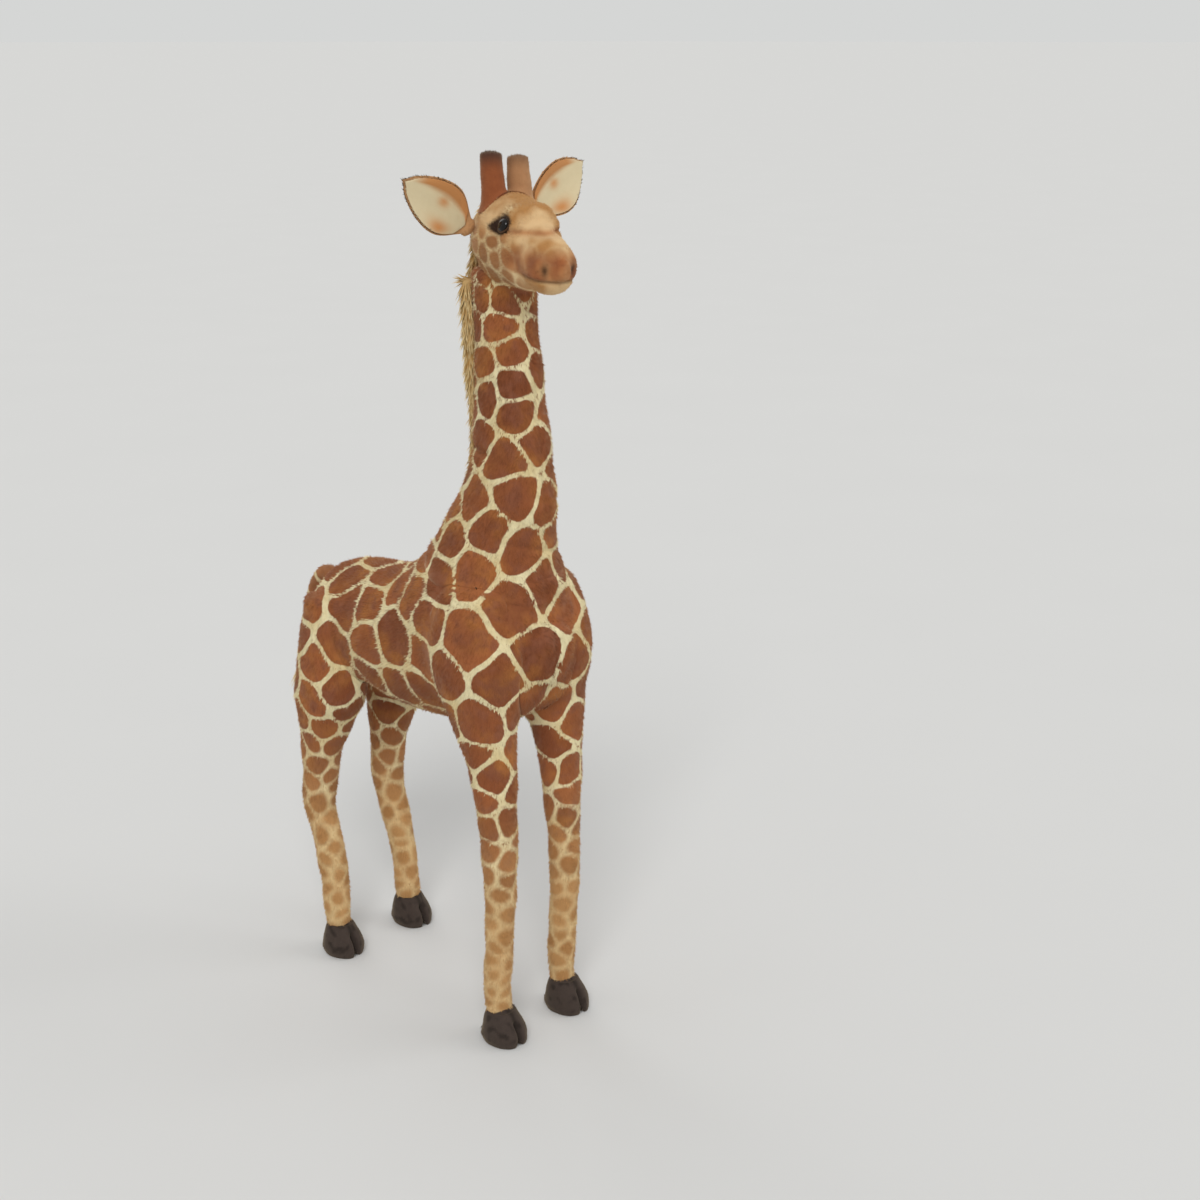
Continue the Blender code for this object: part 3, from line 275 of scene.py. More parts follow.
def unit(vectors):
    """Vectors divided by their lengths."""
    return vectors / np.maximum(np.linalg.norm(vectors, axis=-1, keepdims=True), 1e-12)


def ease(low, high, value):
    """From 0 at low to 1 at high, by three squares less two cubes of the share between."""
    share = np.clip((value - low) / (high - low), 0, 1)
    return share * share * (3 - 2 * share)


def bell(value, width):
    """1 at nought, falling off as the exponential of minus the square of value over width."""
    return np.exp(-((value / width) ** 2))


HEAD_PIVOT = at(NECK_TOP_FORWARD, 0, 0)
HEAD_ANGLE = -math.radians(HEAD_TURN)


def turned(points, angle=HEAD_ANGLE):
    """Places or directions turned about the neck's upright axis: x and y by the sine and cosine."""
    flat = points - HEAD_PIVOT
    sine, cosine = math.sin(angle), math.cos(angle)
    x = flat[..., 0] * cosine - flat[..., 1] * sine
    y = flat[..., 0] * sine + flat[..., 1] * cosine
    return np.stack([x, y, flat[..., 2]], -1) + HEAD_PIVOT


def turned_way(ways, angle=HEAD_ANGLE):
    """Directions turned with the head."""
    return turned(ways + HEAD_PIVOT, angle) - HEAD_PIVOT


def head_frame(points):
    """Places in the head's own frame, as it stands before its turn."""
    return turned(points, -HEAD_ANGLE)


def lumps(points, size, seed):
    """Soft uneven values between -1 and 1: twelve sine waves in set directions, about size long."""
    waves = np.random.default_rng(seed)
    ways = unit(waves.normal(size=(12, 3))) * waves.uniform(0.7, 1.5, (12, 1)) * TAU / size
    starts = waves.uniform(0, TAU, 12)
    return np.sin(points @ ways.T + starts).sum(-1) / 5


def smooth_path(rows, spacing):
    """Rows on a Catmull-Rom curve, spaced evenly by how far their places and sizes go together."""
    ends = np.vstack([rows[0] * 2 - rows[1], rows, rows[-1] * 2 - rows[-2]])
    place = np.linspace(0, len(rows) - 1, (len(rows) - 1) * 24 + 1)
    index = np.minimum(place.astype(int), len(rows) - 2)
    t = (place - index)[:, None]
    a, b, c, d = (ends[index + step] for step in range(4))
    bow = a * 2 - b * 5 + c * 4 - d
    swing = b * 3 - a - c * 3 + d
    fine = (b * 2 + (c - a) * t + bow * t**2 + swing * t**3) / 2
    steps = np.linalg.norm(np.diff(fine, axis=0), axis=1)
    run = np.concatenate([[0], np.cumsum(steps)])
    even = np.linspace(0, run[-1], max(int(run[-1] / spacing), 5))
    return np.stack([np.interp(even, run, column) for column in fine.T], 1)


def capped(rows, bulge=0.45, steps=5):
    """Rings with each end rounded off: the size falls by the cosine while the reach grows by the sine."""
    turn = np.linspace(0, math.pi / 2, steps + 1)[1:-1, None]
    parts = []
    poles = []
    for end, inner in ((0, 1), (-1, -2)):
        way = unit(rows[end, :3] - rows[inner, :3]) * min(rows[end, 3], rows[end, 4]) * bulge
        place = rows[end, :3] + way * np.sin(turn)
        parts.append(np.hstack([place, rows[end, 3:] * np.cos(turn)]))
        poles.append(rows[end, :3] + way)
    return np.vstack([parts[0][::-1], rows, parts[1]]), np.array(poles)


def tube_net(rows, sides):
    """Triangles of a closed tube of rings with a pole at each end, and their flat map.

    The map's two shares are the turn round the ring and the place along the tube.
    """
    row = np.arange(rows - 1)[:, None] * sides
    step = np.arange(sides)[None]
    after = (step + 1) % sides
    a, b = row + step, row + after
    c, d = b + sides, a + sides
    first = np.stack([a, b, c], -1).reshape(-1, 3)
    second = np.stack([a, c, d], -1).reshape(-1, 3)
    low, high = rows * sides, rows * sides + 1
    ring = np.arange(sides)
    fan_low = np.stack([np.full(sides, low), (ring + 1) % sides, ring], -1)
    last = (rows - 1) * sides
    fan_high = np.stack([np.full(sides, high), last + ring, last + (ring + 1) % sides], -1)
    net = np.vstack([first, second, fan_low, fan_high])
    u, v = step / sides, (np.arange(rows - 1)[:, None] + 1) / (rows + 1)
    du, dv = 1 / sides, 1 / (rows + 1)

    def flat(*corners):
        pairs = [np.stack(np.broadcast_arrays(*corner), -1) for corner in corners]
        return np.stack(pairs, -2).reshape(-1, 3, 2)

    one = flat((u, v), (u + du, v), (u + du, v + dv))
    two = flat((u, v), (u + du, v + dv), (u, v + dv))
    foot = flat((u + du / 2, 0), (u + du, dv), (u, dv))
    top = flat((u + du / 2, 1), (u, 1 - dv), (u + du, 1 - dv))
    return net, np.vstack([one, two, foot, top])


def outward(points, net):
    """The triangles turned over if the shape that they close has a negative volume."""
    a, b, c = (points[net[:, corner]] for corner in range(3))
    return net if np.einsum("ij,ij->", a, np.cross(b, c)) > 0 else net[:, ::-1]


def outward_ways(points, net):
    """For each point, the way out: the sum of its triangles' area vectors, made one long."""
    a, b, c = (points[net[:, corner]] for corner in range(3))
    area = np.cross(b - a, c - a)
    ways = np.zeros_like(points)
    for corner in range(3):
        np.add.at(ways, net[:, corner], area)
    return unit(ways)


class Form:
    """A stuffed form: oval rings along a smooth path, closed by a rounded cap at each end.

    A ring's point is its centre, plus the side axis by the cosine of the turn times the half width,
    plus the deep axis by the sine times the half depth.
    """

    def __init__(self, rows, along, spacing, sides, in_head=False, bulge=0.45):
        open_path = smooth_path(np.array(rows, float), spacing)
        self.path, self.poles = capped(open_path, bulge)
        self.along = np.array(along, float)
        self.deep = np.cross(self.along, LEFT)
        self.sides = sides
        self.in_head = in_head
        self.table = open_path[np.argsort(open_path[:, :3] @ self.along)]
        self.caps = bulge * self.table[[0, -1], 3:].min(1)

    def points(self):
        centre = self.path[:, :3]
        along = unit(np.gradient(centre, axis=0))
        side = unit(LEFT - along * along[:, :1])
        deep = np.cross(along, side)
        turn = np.arange(self.sides) * TAU / self.sides
        wide = side[:, None] * np.cos(turn)[None, :, None] * self.path[:, 3, None, None]
        high = deep[:, None] * np.sin(turn)[None, :, None] * self.path[:, 4, None, None]
        made = np.vstack([(centre[:, None] + wide + high).reshape(-1, 3), self.poles])
        return turned(made) if self.in_head else made

    def depth(self, points):
        """About how far places are outside the form: their distance from its path less the oval's.

        Past the ends the oval closes as the cap does, by a third square: the reach past the end over
        the cap's length.
        """
        local = head_frame(points) if self.in_head else points
        key = local @ self.along
        keys = self.table[:, :3] @ self.along
        row = np.stack([np.interp(key, keys, column) for column in self.table.T], -1)
        away = local - row[..., :3]
        past = key - np.clip(key, keys[0], keys[-1])
        cap = np.where(past < 0, *self.caps)
        reaches = np.stack([away[..., 0], away @ self.deep, past])
        reach = np.linalg.norm(reaches, axis=0) + 1e-9
        share = np.linalg.norm(reaches / np.stack([row[..., 3], row[..., 4], cap]), axis=0) + 1e-9
        return np.where(share > 0.02, reach - reach / share, -np.minimum(row[..., 3], row[..., 4]))


class Body:
    """Forms sewn together: the least of their depths, lowered where two are alike.

    It is lowered by the square of what is left of the reach after their difference, over four
    times the reach.
    """

    def __init__(self, *members):
        self.members = members

    def depth(self, points):
        made = self.members[0][0].depth(points)
        for form, reach in self.members[1:]:
            value = form.depth(points)
            near = np.maximum(reach - np.abs(made - value), 0)
            made = np.minimum(made, value) - near**2 / (4 * reach)
        return made


class Skin:
    """A closed sewn skin: its points, triangles, flat map and ways out."""

    def __init__(self, points, rows, sides, form=None, neighbours=()):
        self.points = points
        self.net, self.chart = tube_net(rows, sides)
        if outward(self.points, self.net) is not self.net:
            self.net, self.chart = self.net[:, ::-1], self.chart[:, ::-1]
        self.form = form
        self.neighbours = neighbours
        self.ways = outward_ways(self.points, self.net)
        self.cover = self.hidden()

    def move(self, amount):
        """Moves each place out by its own amount, and finds the ways out again."""
        self.points = self.points + self.ways * amount[:, None]
        self.ways = outward_ways(self.points, self.net)

    def hidden(self):
        """How deep each place is inside a neighbour. The cover is what it was as first cut."""
        if not self.neighbours:
            return np.full(len(self.points), -1.0)
        return -np.min([other.depth(self.points) for other in self.neighbours], axis=0)

    def seam(self):
        """1 on the line where this form meets a neighbour, falling off within a few millimetres."""
        if not self.neighbours:
            return np.zeros(len(self.points))
        own = self.form.depth(self.points)
        return np.max([bell(own - other.depth(self.points), 5 * MM) for other in self.neighbours], axis=0)


def fitted(form, body=None, inset=0.0):
    """The skin of one form, drawn out to the soft union of its body's forms.

    Each place moves along the union's slope until its depth there is nought. The move dies out
    over the places inside a neighbour, which stay hidden below its skin.
    """
    others = [other for other, _ in body.members if other is not form] if body else []
    skin = Skin(form.points(), len(form.path), form.sides, form, others)
    if body:
        free = (1 - ease(3 * MM, 12 * MM, skin.cover))[:, None]
        start = skin.points
        made = start.copy()
        for _ in range(4):
            depth = body.depth(made)
            slope = np.stack([body.depth(made + step) - depth for step in np.eye(3) * MM], -1) / MM
            size = np.maximum((slope**2).sum(-1, keepdims=True), 0.2)
            made = made - np.clip((depth + inset)[:, None] / size, -8 * MM, 8 * MM) * slope
        skin.points = between(start, made, free)
        skin.ways = outward_ways(skin.points, skin.net)
    return skin


def leg_rows(shares, side, hoof, top, hock, stance, spread, height, depth, width):
    """Leg rings, from inside the hoof to the shoulder or hip."""
    rows = []
    for up, place, bend, deep, wide in shares:
        centre = at(
            between(hoof, top, place) - hock * bend,
            side * between(stance, spread, place) / 2,
            between(LEG_END_HEIGHT, height, up),
        )
        rows.append((*centre, between(SHIN_WIDTH, width, wide) / 2, between(SHIN_WIDTH, depth, deep) / 2))
    return rows


def front_leg_rows(side):
    return leg_rows(
        FRONT_LEG_SHARES, side, FRONT_HOOF_FORWARD, FRONT_TOP_FORWARD, 0, FRONT_STANCE, FRONT_TOP_SPREAD,
        FRONT_TOP_HEIGHT, FRONT_TOP_DEPTH, FRONT_TOP_WIDTH,
    )


def rear_leg_rows(side):
    return leg_rows(
        REAR_LEG_SHARES, side, -REAR_HOOF_BACK, -REAR_TOP_BACK, REAR_HOCK_BACK, REAR_STANCE, REAR_TOP_SPREAD,
        REAR_TOP_HEIGHT, REAR_TOP_DEPTH, REAR_TOP_WIDTH,
    )


def level_rows(shares, start, length, depth, width, low):
    """Rings of a form that lies along the toy: trunk, head or muzzle."""
    return [
        (*at(start + length * along, 0, low + depth * middle), width * side, depth * deep)
        for along, middle, deep, side in shares
    ]


def neck_rows():
    rows = []
    for up, place, deep, side in NECK_SHARES:
        centre = at(
            between(NECK_FOOT_FORWARD, NECK_TOP_FORWARD, place), 0,
            between(NECK_FOOT_HEIGHT, NECK_SEAM_HEIGHT, up),
        )
        half_side = between(NECK_FOOT_WIDTH, NECK_TOP_WIDTH, side) / 2
        rows.append((*centre, half_side, between(NECK_FOOT_DEPTH, NECK_TOP_DEPTH, deep) / 2))
    return rows


HEAD_ROWS = level_rows(
    HEAD_SHARES, NECK_TOP_FORWARD - HEAD_BACK, HEAD_LENGTH, HEAD_DEPTH, HEAD_WIDTH,
    NECK_SEAM_HEIGHT + JAW_HEIGHT,
)
MUZZLE_ROWS = level_rows(
    MUZZLE_SHARES, NECK_TOP_FORWARD + MUZZLE_REACH - MUZZLE_LENGTH, MUZZLE_LENGTH, MUZZLE_DEPTH, MUZZLE_WIDTH,
    NECK_SEAM_HEIGHT + MUZZLE_LOW,
)
TRUNK_ROWS = level_rows(TRUNK_SHARES, -RUMP_BACK, TRUNK_LENGTH, TRUNK_DEPTH, TRUNK_WIDTH, BELLY_HEIGHT)


def surface_spot(rows, along_share, round_share):
    """A place on a level form's side and the way out of it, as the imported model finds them."""
    rows = np.array(rows)
    run = np.concatenate([[0], np.cumsum(np.linalg.norm(np.diff(rows[:, :3], axis=0), axis=1))])
    centres = rows[:, :3]
    along = unit(np.vstack([centres[1] - centres[0], centres[2:] - centres[:-2], centres[-1] - centres[-2]]))
    side = unit(LEFT - along * along[:, :1])
    deep = np.cross(along, side)
    table = np.hstack([rows, side, deep])
    row = np.array([np.interp(along_share * run[-1], run, column) for column in table.T])
    side, deep = unit(row[5:8]), unit(row[8:11])
    turn = TAU * round_share
    reach = side * math.cos(turn) * row[3] + deep * math.sin(turn) * row[4]
    out = side * math.cos(turn) / row[3] + deep * math.sin(turn) / row[4]
    return row[:3] + reach, unit(out)


def mirrored(vector, side, about=0.0):
    """The vector as it is on the left, or its mirror image on the right."""
    made = np.array(vector, float)
    if side < 0:
        made[..., 0] = 2 * about - made[..., 0]
    return made


def far_from(local, place, side):
    """How far places in the head's frame are from a place on its left, or from its mirror image."""
    return np.linalg.norm(local - mirrored(place, side, MIDDLE_LEFT), axis=1)


# Materials

def linear(code):
    """An sRGB hex colour as linear red, green, blue and one."""
    values = [int(code[i : i + 2], 16) / 255 for i in (1, 3, 5)]
    return (*(v / 12.92 if v <= 0.04045 else ((v + 0.055) / 1.055) ** 2.4 for v in values), 1.0)


def add(tree, kind, inputs=None, **settings):
    """A node with its settings, its inputs set to values or linked to sockets."""
    made = tree.nodes.new(kind)
    for key, value in settings.items():
        setattr(made, key, value)
    for key, value in (inputs or {}).items():
        if isinstance(value, bpy.types.NodeSocket):
            tree.links.new(value, made.inputs[key])
        else:
            made.inputs[key].default_value = value
    return made


def blank(name):
    """A material with only its shader, and that shader."""
    made = bpy.data.materials.new(name)
    made.use_nodes = True
    return made, made.node_tree, made.node_tree.nodes["Principled BSDF"]


def mixed(tree, share, first, second, blend="MIX"):
    """The colour between two, by share."""
    node = add(tree, "ShaderNodeMix", {0: share, 6: first, 7: second}, data_type="RGBA", blend_type=blend)
    return node.outputs[2]


def spread(tree, value, low, high, to_low=0.0, to_high=1.0):
    """A value's share between low and high, eased, as a share between two others."""
    node = add(
        tree, "ShaderNodeMapRange", {0: value, 1: low, 2: high, 3: to_low, 4: to_high},
        interpolation_type="SMOOTHSTEP",
    )
    return node.outputs[0]


def math_of(tree, operation, first, second):
    return add(tree, "ShaderNodeMath", {0: first, 1: second}, operation=operation).outputs[0]


def scaled(tree, value, times, plus):
    """A value times a number, plus another."""
    return math_of(tree, "ADD", math_of(tree, "MULTIPLY", value, times), plus)


def pile_noise(tree, per_metre, detail=2.0):
    """Soft noise on Object coordinates, with its grain set by how many fit in a metre."""
    place = add(tree, "ShaderNodeTexCoord").outputs["Object"]
    noise = add(tree, "ShaderNodeTexNoise", {"Vector": place, "Scale": per_metre, "Detail": detail})
    return noise.outputs["Fac"]


def channels(tree, name):
    """The four channels of a painted attribute."""
    painted = add(tree, "ShaderNodeAttribute", attribute_name=name)
    parts = add(tree, "ShaderNodeSeparateColor", {0: painted.outputs["Color"]})
    return (*parts.outputs, painted.outputs["Alpha"])


def lit(tree, colour, light):
    """The colour times a brightness."""
    grey = add(tree, "ShaderNodeCombineColor", {0: light, 1: light, 2: light}).outputs[0]
    return mixed(tree, 1.0, colour, grey, "MULTIPLY")


def soft_shader(shader, roughness=0.95, sheen=0.35):
    """Fibres scatter light at grazing angles, which the sheen gives."""
    shader.inputs["Roughness"].default_value = roughness
    shader.inputs["Specular IOR Level"].default_value = 0.15
    shader.inputs["Sheen Weight"].default_value = sheen
    shader.inputs["Sheen Roughness"].default_value = 0.45
    shader.inputs["Sheen Tint"].default_value = linear("#f2dcb8")


def printed_plush():
    """Knitted polyester plush, printed with brown patches between cream lines.

    The print is soft at its edges, because the pile's tips cross them. Attribute coat holds the
    distance in from a patch's edge in centimetres, the patch's tone, the lock's random shade and how
    near its tip a place is, by which the roots are painted darker as their shade. Attribute zones
    holds how far the print has faded, the plain brow, the reddish muzzle with the painted shade of
    the crease under the brow's pad, and the dark marks.
    """
    made, tree, shader = blank("printed_polyester_plush")
    edge, tone, shade, tip = channels(tree, "coat")
    fade, plain, red, dark = channels(tree, "zones")
    fine = pile_noise(tree, 260)
    broad = pile_noise(tree, 26)
    blotch = pile_noise(tree, 55, 4.0)
    wander = math_of(tree, "MULTIPLY", math_of(tree, "SUBTRACT", fine, 0.5), 0.16)
    inside = math_of(tree, "ADD", edge, wander)
    blur = scaled(tree, fade, 0.36, 0.07)
    low = math_of(tree, "MULTIPLY", blur, -1.0)
    patch = spread(tree, inside, low, blur)
    pale = mixed(tree, fade, linear("#e8dcb2"), linear("#e2c794"))
    worn = mixed(tree, fade, linear("#dcc896"), linear("#d8b684"))
    line = mixed(tree, spread(tree, broad, 0.3, 0.7), pale, worn)
    rust = mixed(tree, tone, linear("#a2613a"), linear("#80492d"))
    rust = mixed(tree, spread(tree, broad, 0.42, 0.70, 0.0, 0.75), rust, linear("#ad6f3a"))
    rust = mixed(tree, spread(tree, blotch, 0.45, 0.66, 0.0, 0.7), rust, linear("#8a563f"))
    heart = spread(tree, edge, 0.45, 1.9, 0.0, 0.4)
    rust = mixed(tree, heart, rust, linear("#7a4730"))
    spot = mixed(tree, tone, linear("#bf925f"), linear("#a87a4a"))
    brown = mixed(tree, fade, rust, spot)
    colour = mixed(tree, patch, line, brown)
    mottle = spread(tree, broad, 0.38, 0.62)
    colour = mixed(tree, plain, colour, mixed(tree, mottle, linear("#d9b687"), linear("#b3814c")))
    colour = mixed(tree, red, colour, mixed(tree, mottle, linear("#b2703f"), linear("#854a30")))
    colour = mixed(tree, dark, colour, linear("#2c1a12"))
    # Brightness from the lock's random shade, and painted shade that darkens the pile from its tips to its
    # roots
    light = scaled(tree, shade, 0.30, 0.74)
    light = math_of(tree, "ADD", light, math_of(tree, "MULTIPLY", tip, 0.22))
    tree.links.new(lit(tree, colour, light), shader.inputs["Base Color"])
    soft_shader(shader)
    return made


def shaded_plush(name, deep, pale, end, sheen=0.35, bleached=0.0):
    """Pile of one colour, from deep to pale by its lock's shade, turning to the end colour by zones.

    A bleached pile also turns to the end colour towards its tips.
    """
    made, tree, shader = blank(name)
    _, _, shade, tip = channels(tree, "coat")
    share, *_ = channels(tree, "zones")
    noise = pile_noise(tree, 180)
    tone = math_of(tree, "ADD", math_of(tree, "MULTIPLY", shade, 0.8), math_of(tree, "MULTIPLY", noise, 0.3))
    colour = mixed(tree, tone, linear(deep), linear(pale))
    share = math_of(tree, "MAXIMUM", share, spread(tree, tip, 0.35, 1.0, 0.0, bleached))
    colour = mixed(tree, share, colour, linear(end))
    # Painted shade: the pile is darker towards its roots than at its tips
    light = scaled(tree, tip, 0.22, 0.82)
    tree.links.new(lit(tree, colour, light), shader.inputs["Base Color"])
    soft_shader(shader, sheen=sheen)
    return made


def moulded_eye():
    """Injection-moulded black acrylic: a hard gloss, with a brown depth towards its edge."""
    made, tree, shader = blank("moulded_acrylic_eye")
    facing = add(tree, "ShaderNodeLayerWeight", {"Blend": 0.35}).outputs["Facing"]
    colour = mixed(tree, facing, linear("#0b0807"), linear("#1d120b"))
    tree.links.new(colour, shader.inputs["Base Color"])
    scuffs = pile_noise(tree, 900, 3.0)
    tree.links.new(spread(tree, scuffs, 0.3, 0.7, 0.05, 0.11), shader.inputs["Roughness"])
    shader.inputs["IOR"].default_value = 1.49
    shader.inputs["Specular IOR Level"].default_value = 0.3
    return made


def inner_finish(name, colours, grain, rough, metallic=0.0):
    """A finish for what is sewn inside: two tones by noise at its grain, and a slight relief."""
    made, tree, shader = blank(name)
    noise = pile_noise(tree, grain, 4.0)
    tree.links.new(mixed(tree, noise, linear(colours[0]), linear(colours[1])), shader.inputs["Base Color"])
    tree.links.new(spread(tree, noise, 0.2, 0.8, *rough), shader.inputs["Roughness"])
    relief = add(tree, "ShaderNodeBump", {"Height": noise, "Strength": 0.2, "Distance": 0.2 * MM})
    tree.links.new(relief.outputs[0], shader.inputs["Normal"])
    shader.inputs["Metallic"].default_value = metallic
    return made


COAT = printed_plush()
# The far, left horn has a lit copy of the horn plush: its pile is painted paler as painted light
HORN_PLUSHES = {
    "left": shaded_plush("painted_lit_horn_plush", "#a16d48", "#c4956a", "#6a4c3a"),
    "right": shaded_plush("short_pile_horn_plush", "#7e4128", "#a4613a", "#4a342c"),
}
HOOF_PLUSH = shaded_plush("dense_hoof_plush", "#2b2320", "#564a43", "#14100e", 0.25)
LONG_PILE = shaded_plush("long_faux_fur", "#9c713a", "#cb9f5f", "#f0dba6", 0.3, 0.85)
EAR_BACK = shaded_plush("ear_back_plush", "#b98252", "#d6a878", "#5c4230")
EAR_LINING = shaded_plush("cream_velour_lining", "#d2bf96", "#e4d6b2", "#cc8648", 0.3)
LASH = shaded_plush("black_felt_lash", "#120d0b", "#2a1f1a", "#6b4a33", 0.2)
EYE = moulded_eye()
STEEL = inner_finish("drawn_steel_wire", ("#8f8f90", "#a9aaab"), 900, (0.25, 0.4), 1.0)
TAPE = inner_finish("woven_binding_tape", ("#a6a59d", "#8f8e86"), 1500, (0.85, 0.95))
NYLON = inner_finish("moulded_nylon_washer", ("#d8d6cd", "#c9c7bd"), 600, (0.35, 0.5))


# Making pieces

def made_mesh(name, points, net, material, chart=None, paints=None, ways=None):
    """An object from points and triangles, with its flat map and its painted attributes."""
    flipped = outward(points, net)
    if flipped is not net:
        net = flipped
        chart = None if chart is None else chart[:, ::-1]
    mesh = bpy.data.meshes.new(name)
    mesh.vertices.add(len(points))
    mesh.vertices.foreach_set("co", np.ascontiguousarray(points, np.float32).ravel())
    mesh.loops.add(net.size)
    mesh.loops.foreach_set("vertex_index", np.ascontiguousarray(net, np.int32).ravel())
    mesh.polygons.add(len(net))
    mesh.polygons.foreach_set("loop_start", np.arange(0, net.size, 3, dtype=np.int32))
    mesh.update(calc_edges=True)
    mesh.shade_smooth()
    if chart is not None:
        layer = mesh.uv_layers.new(name="OFBake")
        layer.data.foreach_set("uv", np.ascontiguousarray(chart, np.float32).ravel())
    for label, values in (paints or {}).items():
        layer = mesh.attributes.new(label, "FLOAT_COLOR", "POINT")
        layer.data.foreach_set("color", np.ascontiguousarray(values, np.float32).ravel())
    if ways is not None:
        mesh.normals_split_custom_set_from_vertices(ways.tolist())
    made = bpy.data.objects.new(name, mesh)
    bpy.context.scene.collection.objects.link(made)
    mesh.materials.append(material)
    return made


def carried(piece, body):
    """Puts a piece on its body; a neck piece has its place baked into its points instead."""
    if body == "neck":
        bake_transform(piece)
    else:
        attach(piece, body)
    return piece


def sewn(name, skin, material, body, nodes, paints):
    """A skin as a stuffed piece that stands for its nodes."""
    piece = made_mesh(name, skin.points, skin.net, material, skin.chart, paints)
    carried(piece, body)
    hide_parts(*nodes)
    return piece


def scattered(skin, spacing, keep):
    """Even chances of a root for each patch of skin: which triangles, and where in each."""
    a, b, c = (skin.points[skin.net[:, corner]] for corner in range(3))
    area = np.linalg.norm(np.cross(b - a, c - a), axis=1) / 2 * keep[skin.net].mean(1)
    total = area.cumsum()
    count = int(total[-1] / spacing**2)
    pick = np.searchsorted(total, dice.random(count) * total[-1])
    first, second = dice.random((2, count))
    fold = first + second > 1
    first[fold], second[fold] = 1 - first[fold], 1 - second[fold]
    shares = np.stack([1 - first - second, first, second], -1)
    return skin.net[pick], shares


def slope_of(skin, corners, values):
    """How a painted value changes along the skin at each root, by its triangle's three corners."""
    first, second, third = (skin.points[corners[:, corner]] for corner in range(3))
    one, two = second - first, third - first
    square = np.cross(one, two)
    rise = values[corners] - values[corners[:, :1]]
    slope = rise[:, 1:2] * np.cross(two, square) + rise[:, 2:] * np.cross(square, one)
    return slope / np.maximum((square**2).sum(1, keepdims=True), 1e-18)


def locks(name, skin, material, body, slot, paints, nap, length, width, spacing, keep=None, lie=28,
          droop=0.0, rings=(0.0,), fat=(1.0,), tousle=0.16, roundness=0.45, sink=1 * MM):
    """Locks of pile rooted all over a skin, each a closed spike of three-sided rings and a tip.

    A lock's middle runs from its root along its own way, by length times share, and bends down by
    droop times the share squared. Its way is the nap laid on the skin and raised by the lie. The
    print runs on over the lock as it would on the skin below, because plush is printed when it is
    brushed flat. Past the middle of a line it rises again towards the next patch. By its
    roundness a lock is shaded as round, and by the rest as the skin that it lies on.
    """
    keep = np.ones(len(skin.points)) if keep is None else keep
    corners, shares = scattered(skin, spacing, keep)
    count = len(corners)

    def mean(values):
        return np.einsum("ij,ijk->ik", shares, values[corners])

    ways = unit(mean(skin.ways))
    roots = mean(skin.points) - ways * sink
    nap = mean(nap if nap.ndim == 2 else np.broadcast_to(nap, skin.points.shape))
    nap = unit(nap - ways * (nap * ways).sum(1, keepdims=True) + dice.normal(0, tousle, (count, 3)))
    rise = np.radians(lie + dice.normal(0, 7, count))[:, None]
    way = unit(nap * np.cos(rise) + ways * np.sin(rise))
    scale = mean(length[:, None]) if isinstance(length, np.ndarray) else length
    reach = scale * dice.uniform(0.75, 1.2, (count, 1))
    side = unit(np.cross(way, ways))
    up = np.cross(side, way)
    half = width / 2 * dice.uniform(0.8, 1.2, (count, 1))
    bend = np.array([0, 0, -1.0]) * droop
    points = []
    along = []
    facings = []
    for share, size in (*zip(rings, fat), (1.0, 0.0)):
        middle = roots + way * reach * share + bend * reach * share**2
        turns = (-math.pi / 6, math.pi / 2, math.pi * 7 / 6) if size else (math.pi / 2,)
        for turn in turns:
            points.append(middle + (side * math.cos(turn) + up * math.sin(turn) * 0.6) * half * size)
            facings.append(between(ways, side * math.cos(turn) + up * math.sin(turn), roundness))
            along.append(share)
    points = np.stack(points, 1)
    facings = unit(np.stack(facings, 1))
    along = np.array(along)
    net = [(0, 2, 1)]
    for low in range(0, 3 * (len(rings) - 1), 3):
        for s in range(3):
            after = (s + 1) % 3
            net += [(low + s, low + after, low + 3 + after), (low + s, low + 3 + after, low + 3 + s)]
    last = 3 * (len(rings) - 1)
    net = np.array(net + [(last + s, last + (s + 1) % 3, last + 3) for s in range(3)])
    each = points.shape[1]
    cells = math.ceil(math.sqrt(count))
    number = np.arange(count)
    corner = np.stack([number % cells, number // cells], -1) / cells
    across = np.array([0.15, 0.5, 0.85] * len(rings) + [0.5])
    rise_in_cell = 0.12 + 0.78 * along
    rise_in_cell[1] -= 0.08
    flat = np.stack([across, rise_in_cell], -1)[net] / cells
    chart = (corner[:, None, None] + flat[None]).reshape(-1, 3, 2)
    all_net = (net[None] + number[:, None, None] * each).reshape(-1, 3)
    painted = {label: np.repeat(mean(values)[:, None], each, 1) for label, values in paints.items()}
    slope = np.clip(slope_of(skin, corners, paints["coat"][:, EDGE]), -110, 110)
    inside = painted["coat"][..., EDGE] + ((points - roots[:, None]) * slope[:, None]).sum(-1)
    line_middle = -CM_IN_METRE * line_reach(roots)[:, None]
    painted["coat"][..., EDGE] = np.abs(inside - line_middle) + line_middle
    painted["coat"][..., SHADE] = np.clip(dice.normal(0.5, 0.2, count), 0, 1)[:, None]
    # How near its tip each ring is, which the materials turn into painted shade at the roots
    painted["coat"][..., TIP] = along
    painted = {label: value.reshape(-1, 4) for label, value in painted.items()}
    piece = made_mesh(name, points.reshape(-1, 3), all_net, material, chart, painted, facings.reshape(-1, 3))
    return carried(piece, body)


def plushed(name, skin, material, body, slot, paint, fill, nap, length, node=None, **pile):
    """A stuffed piece that stands for its node, with the pile on its skin."""
    sewn(f"{name}_skin", skin, material, body, [node or name], paint)
    locks(f"{name}_pile", skin, material, body, slot, paint, nap, length, **pile)


# The printed coat

